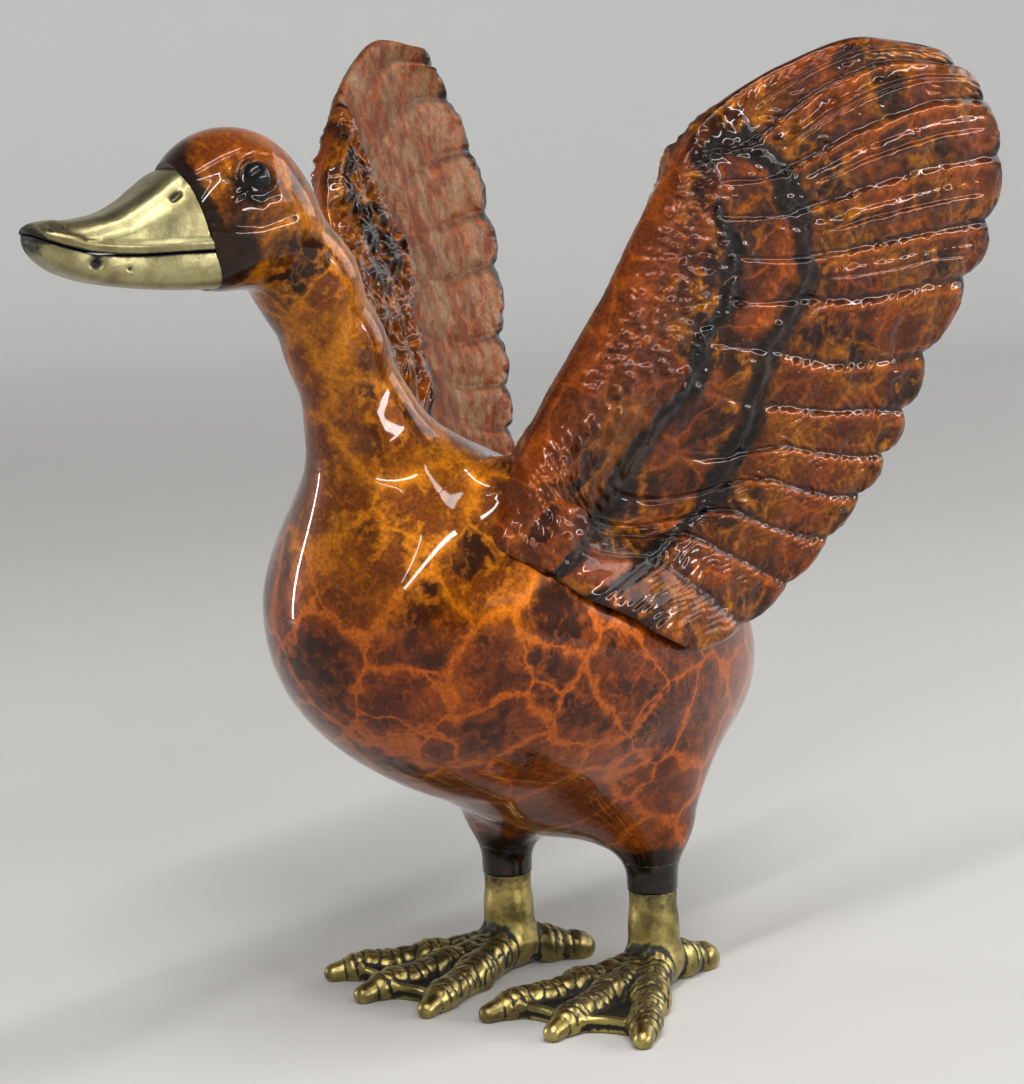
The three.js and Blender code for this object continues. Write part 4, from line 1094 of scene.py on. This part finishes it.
# Darker in the gaps between the tail feathers: painted shade
gaps = ridge(np.minimum(f, 1 - f), 0.07) * share
mark(tail, "painted_shade_and_grime", around(gaps, gaps))
dress(tail, wing_patina)
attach(tail, "root")
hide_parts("tail")


# Legs: dark shanks that leave the thighs with a soft flare and end on the brass ankles.
# They are bronze, coloured near black under clear lacquer, and let into the thighs.
shank_black = new_material("black_shank_patina")
shank_tree = shank_black.node_tree
soft = noise(shank_tree, in_millimetres(shank_tree), 0.5, 4.0).outputs["Fac"]
black_brown = mixed(shank_tree, stepped(shank_tree, soft, 0.45, 0.75), soot, burnt)
finish_with(
    shank_tree,
    {
        "Base Color": black_brown,
        "Metallic": 0.2,
        "Roughness": 0.3,
        "Specular IOR Level": 0.1,
        "Coat Weight": 1.0,
        "Coat IOR": 1.35,
    },
)
shank_sides = 72
shank_top = 43


def leg_piece(name, side):
    seen = np.linspace(leg_join + 0.3, thigh_end - 0.15, 26)
    heights = np.concatenate([seen, np.linspace(thigh_end, shank_top, 6)])
    angles = np.linspace(0, 2 * math.pi, shank_sides + 1)[:-1]
    rings = []
    for z in heights:
        axis = np.array([side * leg_x, side * leg_stagger, z])
        out = np.stack([np.cos(angles), np.sin(angles), np.zeros(shank_sides)], 1)
        reach = np.full(shank_sides, leg_radius * 0.8)
        for _ in range(30):
            reach += np.clip(-duck_skin(axis + out * reach[:, None]), -0.5, 0.5) * 0.9
        if z >= thigh_end:
            reach = np.full(shank_sides, leg_radius)
        rings.append(axis + out * reach[:, None])
    faces = ring_faces(len(heights), shank_sides)
    piece = piece_from(name + "_shank", np.concatenate(rings), faces)
    face_outwards(piece)
    dress(piece, shank_black)
    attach(piece, "root")
    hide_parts(name)


leg_piece("left_leg", 1)
leg_piece("right_leg", -1)

# Feet: webbed brass castings with three front toes, a hind toe, ridged scutes and blunt claws.
# The brass is bare and darker in its grooves as painted shade with some grime, and a rod inside ties each
# ankle to its leg.
toe_out = 10
toe_spread = 26.5
toe_lengths = {"left": 42.5, "right": 40.5}
back_turns = {"left": 2, "right": 30}
back_length = 19
back_knuckle, back_tip, back_claw = 3.8, 2.8, 2.4
knuckle = 4.3
toe_tip = 3.0
claw_length = 6
ankle_z = 7
ankle_radius = 6.2
shank_radius = 4.9
shank_waist = 14.0
web_thick = 2.6
web_reach = 0.86
scute_pitch = 2.7
bead_pitch = 2.4
foot_step = 0.45
foot_metal = polished_metal(
    "cast_foot_brass", tint(0.7, 0.63, 0.38), tint(0.38, 0.34, 0.21), tint(0.1, 0.095, 0.065), 0.22, 0.8
)


def toe_field(p, start, heading, length, base, tip, claw):
    direction = np.array([math.sin(heading), -math.cos(heading), 0])
    bone = length - claw
    end = np.array([start[0], start[1], tip * 0.8]) + direction * bone
    mid = (np.array(start) + end) / 2 + np.array([0, 0, -0.9])
    between = (base + tip) / 2
    d = smooth_union(round_cone(p, start, mid, base, between), round_cone(p, mid, end, between, tip), 2)
    along = (p - np.array(start)) @ direction
    middle_joint = ridge(along - bone * 0.52, 3.0) + ridge(along - bone * 0.92, 2.4)
    top = smoothly(1.0, 4.0, p[:, 2])
    across = (p - np.array(start)) @ np.array([-direction[1], direction[0], 0])
    staggered = along + 0.25 * scute_pitch * np.tanh(across * 1.6)
    staggered = staggered + 0.6 * np.sin(along * 0.7 + across * 0.6)
    row = np.floor(staggered / scute_pitch)
    shifted = across + 0.65 * row + 0.4 * np.sin(row * 2.3)
    bead = np.abs(np.cos(math.pi * shifted / bead_pitch)) ** 0.7
    scutes = np.abs(np.sin(math.pi * staggered / scute_pitch)) ** 0.8 * (0.45 + 0.65 * bead) - 0.45
    clear = smoothly(3, 6, along) * (1 - smoothly(bone, bone + 1.5, along))
    d = d - 0.5 * middle_joint - 0.42 * scutes * top * clear
    nail_start = end - direction * 0.5 + np.array([0, 0, 0.2])
    nail_end = end + direction * (claw - 1.7) + np.array([0, 0, -tip * 0.22])
    return np.minimum(d, round_cone(p, nail_start, nail_end, tip * 0.92, tip * 0.68))


def foot_piece(name, side):
    ankle = np.array([side * leg_x, side * leg_stagger, 0])
    length = toe_lengths[name]
    headings = [side * math.radians(toe_out + k * toe_spread) for k in (-1, 0, 1)]
    tips = [ankle[:2] + np.array([math.sin(h), -math.cos(h)]) * length * web_reach for h in headings]
    corners = [ankle[:2], tips[0]]
    rims = []
    for a, b in zip(tips[:-1], tips[1:]):
        drawn = (a + b) / 2 * 0.84 + ankle[:2] * 0.16
        s = np.linspace(0, 1, 9)[:, None]
        curve = a * (1 - s) ** 2 + 2 * drawn * s * (1 - s) + b * s**2
        corners += list(curve[1:])
        rims.append(curve)

    def field(p):
        q = p[:, :2]
        inside = np.ones(len(q))
        apart = line_distance(q, corners + corners[:1])
        for a, b in zip(corners, corners[1:] + corners[:1]):
            d = b - a
            crosses = (a[1] > q[:, 1]) != (b[1] > q[:, 1])
            at = a[0] + (q[:, 1] - a[1]) * d[0] / (d[1] if abs(d[1]) > 1e-9 else 1e-9)
            inside = np.where(crosses & (q[:, 0] < at), -inside, inside)
        plan = apart * inside
        web = np.maximum(plan, np.abs(p[:, 2] - web_thick / 2) - web_thick / 2) - 0.2
        for rim in rims:
            far = line_distance(q, rim)
            web = smooth_union(web, np.hypot(far, p[:, 2] - web_thick - 0.2) - 0.85, 0.6)
        skin = web
        for h in headings:
            start = (ankle[0], ankle[1], knuckle + 0.6)
            toe = toe_field(p, start, h, length, knuckle, toe_tip, claw_length)
            skin = smooth_union(skin, toe, 0.9)
        back = math.pi - math.radians(back_turns[name])
        start = (ankle[0], ankle[1], ankle_z)
        hind = toe_field(p, start, back, back_length, back_knuckle, back_tip, back_claw)
        skin = smooth_union(skin, hind, 1.2)
        low = ankle + np.array([0, 0, ankle_z - 1])
        waist = ankle + np.array([0, 0, shank_waist])
        top = ankle + np.array([0, 0, leg_join + 6])
        shank = round_cone(p, low, waist, ankle_radius, shank_radius)
        shank = smooth_union(shank, round_cone(p, waist, top, shank_radius, leg_radius), 2)
        skin = smooth_union(skin, shank, 2)
        return np.maximum(skin, -p[:, 2])

    box_low = (min(c[0] for c in corners) - 10, min(c[1] for c in corners) - 10, -1)
    box_high = (max(c[0] for c in corners) + 10, ankle[1] + back_length + 4, leg_join + 2)
    points, quads = cast_surface(field, box_low, box_high, foot_step)
    piece = piece_from(name + "_foot_casting", points, quads)
    cut_piece(piece, (0, 0, leg_join), (0, 0, 1))
    p = corners_of(piece)
    # Darker in the concave places as painted shade, on the low flat web, and towards the shank's top
    round_about = sum(field(p + s) + field(p - s) for s in np.eye(3) * 0.7) / 6 - field(p)
    hollow = smoothly(0.05, -0.04, round_about)
    flat_web = smoothly(0.012, 0.0, np.abs(round_about)) * smoothly(3.6, 2.4, p[:, 2])
    stain = smoothly(17.5, 20.8, p[:, 2]) * 0.3
    mark(piece, "painted_shade_and_grime", 0.85 * hollow + 0.75 * flat_web + stain)
    dress(piece, foot_metal)
    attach(piece, "root")
    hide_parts(name + "_foot")


foot_piece("left", 1)
foot_piece("right", -1)

# Sleeve, dowels and rods: plain bronze and steel that hold the castings together from inside.
# The sleeve backs the neck's seam, the dowels pin wings and tail, and the rods join legs to feet.
hidden_bronze = polished_metal(
    "raw_cast_bronze", tint(0.62, 0.4, 0.2), tint(0.42, 0.25, 0.12), tint(0.12, 0.08, 0.05), 0.4, 1.2
)
hidden_steel = polished_metal(
    "ground_steel", tint(0.62, 0.62, 0.6), tint(0.46, 0.46, 0.45), tint(0.12, 0.12, 0.12), 0.3, 2.0
)
for name, cad_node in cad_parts.items():
    if name == "neck_sleeve":
        inside = hidden_bronze
    elif "dowel" in name or "rod" in name:
        inside = hidden_steel
    else:
        continue
    if not cad_node.data.materials:
        cad_node.data.materials.append(inside)
    for used in cad_node.material_slots:
        used.material = inside

# Studio: a round pale sweep, lit by long narrow lamps overhead and at the right, a thin window low at
# the left and a broad dim light behind at the right. Lengths here are metres.
sweep_radius = 2.2
wall_top = 2.6
corner = 0.6
profile = [(0.0, 0.0)]
for i in range(13):
    angle = math.pi / 2 * i / 12
    profile.append((sweep_radius - corner + corner * math.sin(angle), corner - corner * math.cos(angle)))
profile.append((sweep_radius, wall_top))
sweep_mesh = bpy.data.meshes.new("pale_sweep")
bm = bmesh.new()
line = [bm.verts.new((x, 0, z)) for x, z in profile]
wire = [bm.edges.new(pair) for pair in zip(line[:-1], line[1:])]
bmesh.ops.spin(bm, geom=line + wire, axis=(0, 0, 1), cent=(0, 0, 0), steps=96, angle=2 * math.pi)
bmesh.ops.remove_doubles(bm, verts=bm.verts, dist=0.0001)
bmesh.ops.recalc_face_normals(bm, faces=bm.faces)
for face in bm.faces:
    face.smooth = True
bm.to_mesh(sweep_mesh)
bm.free()
sweep = bpy.data.objects.new("pale_sweep", sweep_mesh)
bpy.context.scene.collection.objects.link(sweep)
paper = new_material("pale_paper")
paper_tree = paper.node_tree
spot = node(paper_tree, "ShaderNodeTexCoord").outputs["Object"]
from_middle = node(paper_tree, "ShaderNodeVectorMath", {0: spot}, operation="LENGTH").outputs["Value"]
far_off = stepped(paper_tree, from_middle, 0.7, 1.9)
paper_tone = mixed(paper_tree, far_off, tint(0.74, 0.735, 0.725), tint(0.93, 0.93, 0.925))
finish_with(paper_tree, {"Base Color": paper_tone, "Roughness": 0.75})
dress(sweep, paper)


# A long soft lamp that reaches from one point to another and faces the duck
def tube(name, start, end, width, power):
    start, end = Vector(start), Vector(end)
    place = (start + end) / 2
    ahead = (Vector((0, 0, 0.1)) - place).normalized()
    along = end - start
    along = (along - ahead * along.dot(ahead)).normalized()
    light = bpy.data.lights.new(name, "AREA")
    light.shape = "RECTANGLE"
    light.size = (end - start).length
    light.size_y = width
    light.energy = power
    holder = bpy.data.objects.new(name, light)
    bpy.context.scene.collection.objects.link(holder)
    turned = Matrix((along, ahead.cross(along) * -1, ahead * -1)).transposed()
    holder.matrix_world = Matrix.Translation(place) @ turned.to_4x4()


tube("overhead_tube", (0.39, 0.33, 1.46), (0.41, -1.05, 1.1), 0.06, 14)
tube("slanting_tube", (0.92, -0.08, 1.04), (0.7, -1.06, 0.57), 0.028, 5.5)
tube("hook_tube", (0.62, -1.02, 0.6), (0.8, -0.62, 1.0), 0.01, 0.8)
tube("low_right_window", (1.24, -0.16, 0.22), (0.95, 0.85, 0.37), 0.06, 7.5)
tube("left_window", (-0.95, -0.6, 0.02), (-0.95, -0.52, 0.4), 0.035, 2.8)
tube("back_right_wall", (0.95, 0.75, 0.5), (0.05, 1.2, 0.5), 0.6, 5)
tube("soft_back", (0.86, 0.22, 1.0), (0.8, 0.0, 1.2), 0.04, 0.8)

world = bpy.data.worlds.new("room")
bpy.context.scene.world = world
world.use_nodes = True
room_light = world.node_tree.nodes["Background"].inputs
room_light["Color"].default_value = tint(0.72, 0.72, 0.73)
room_light["Strength"].default_value = 0.32
bpy.context.scene.view_settings.view_transform = "Standard"
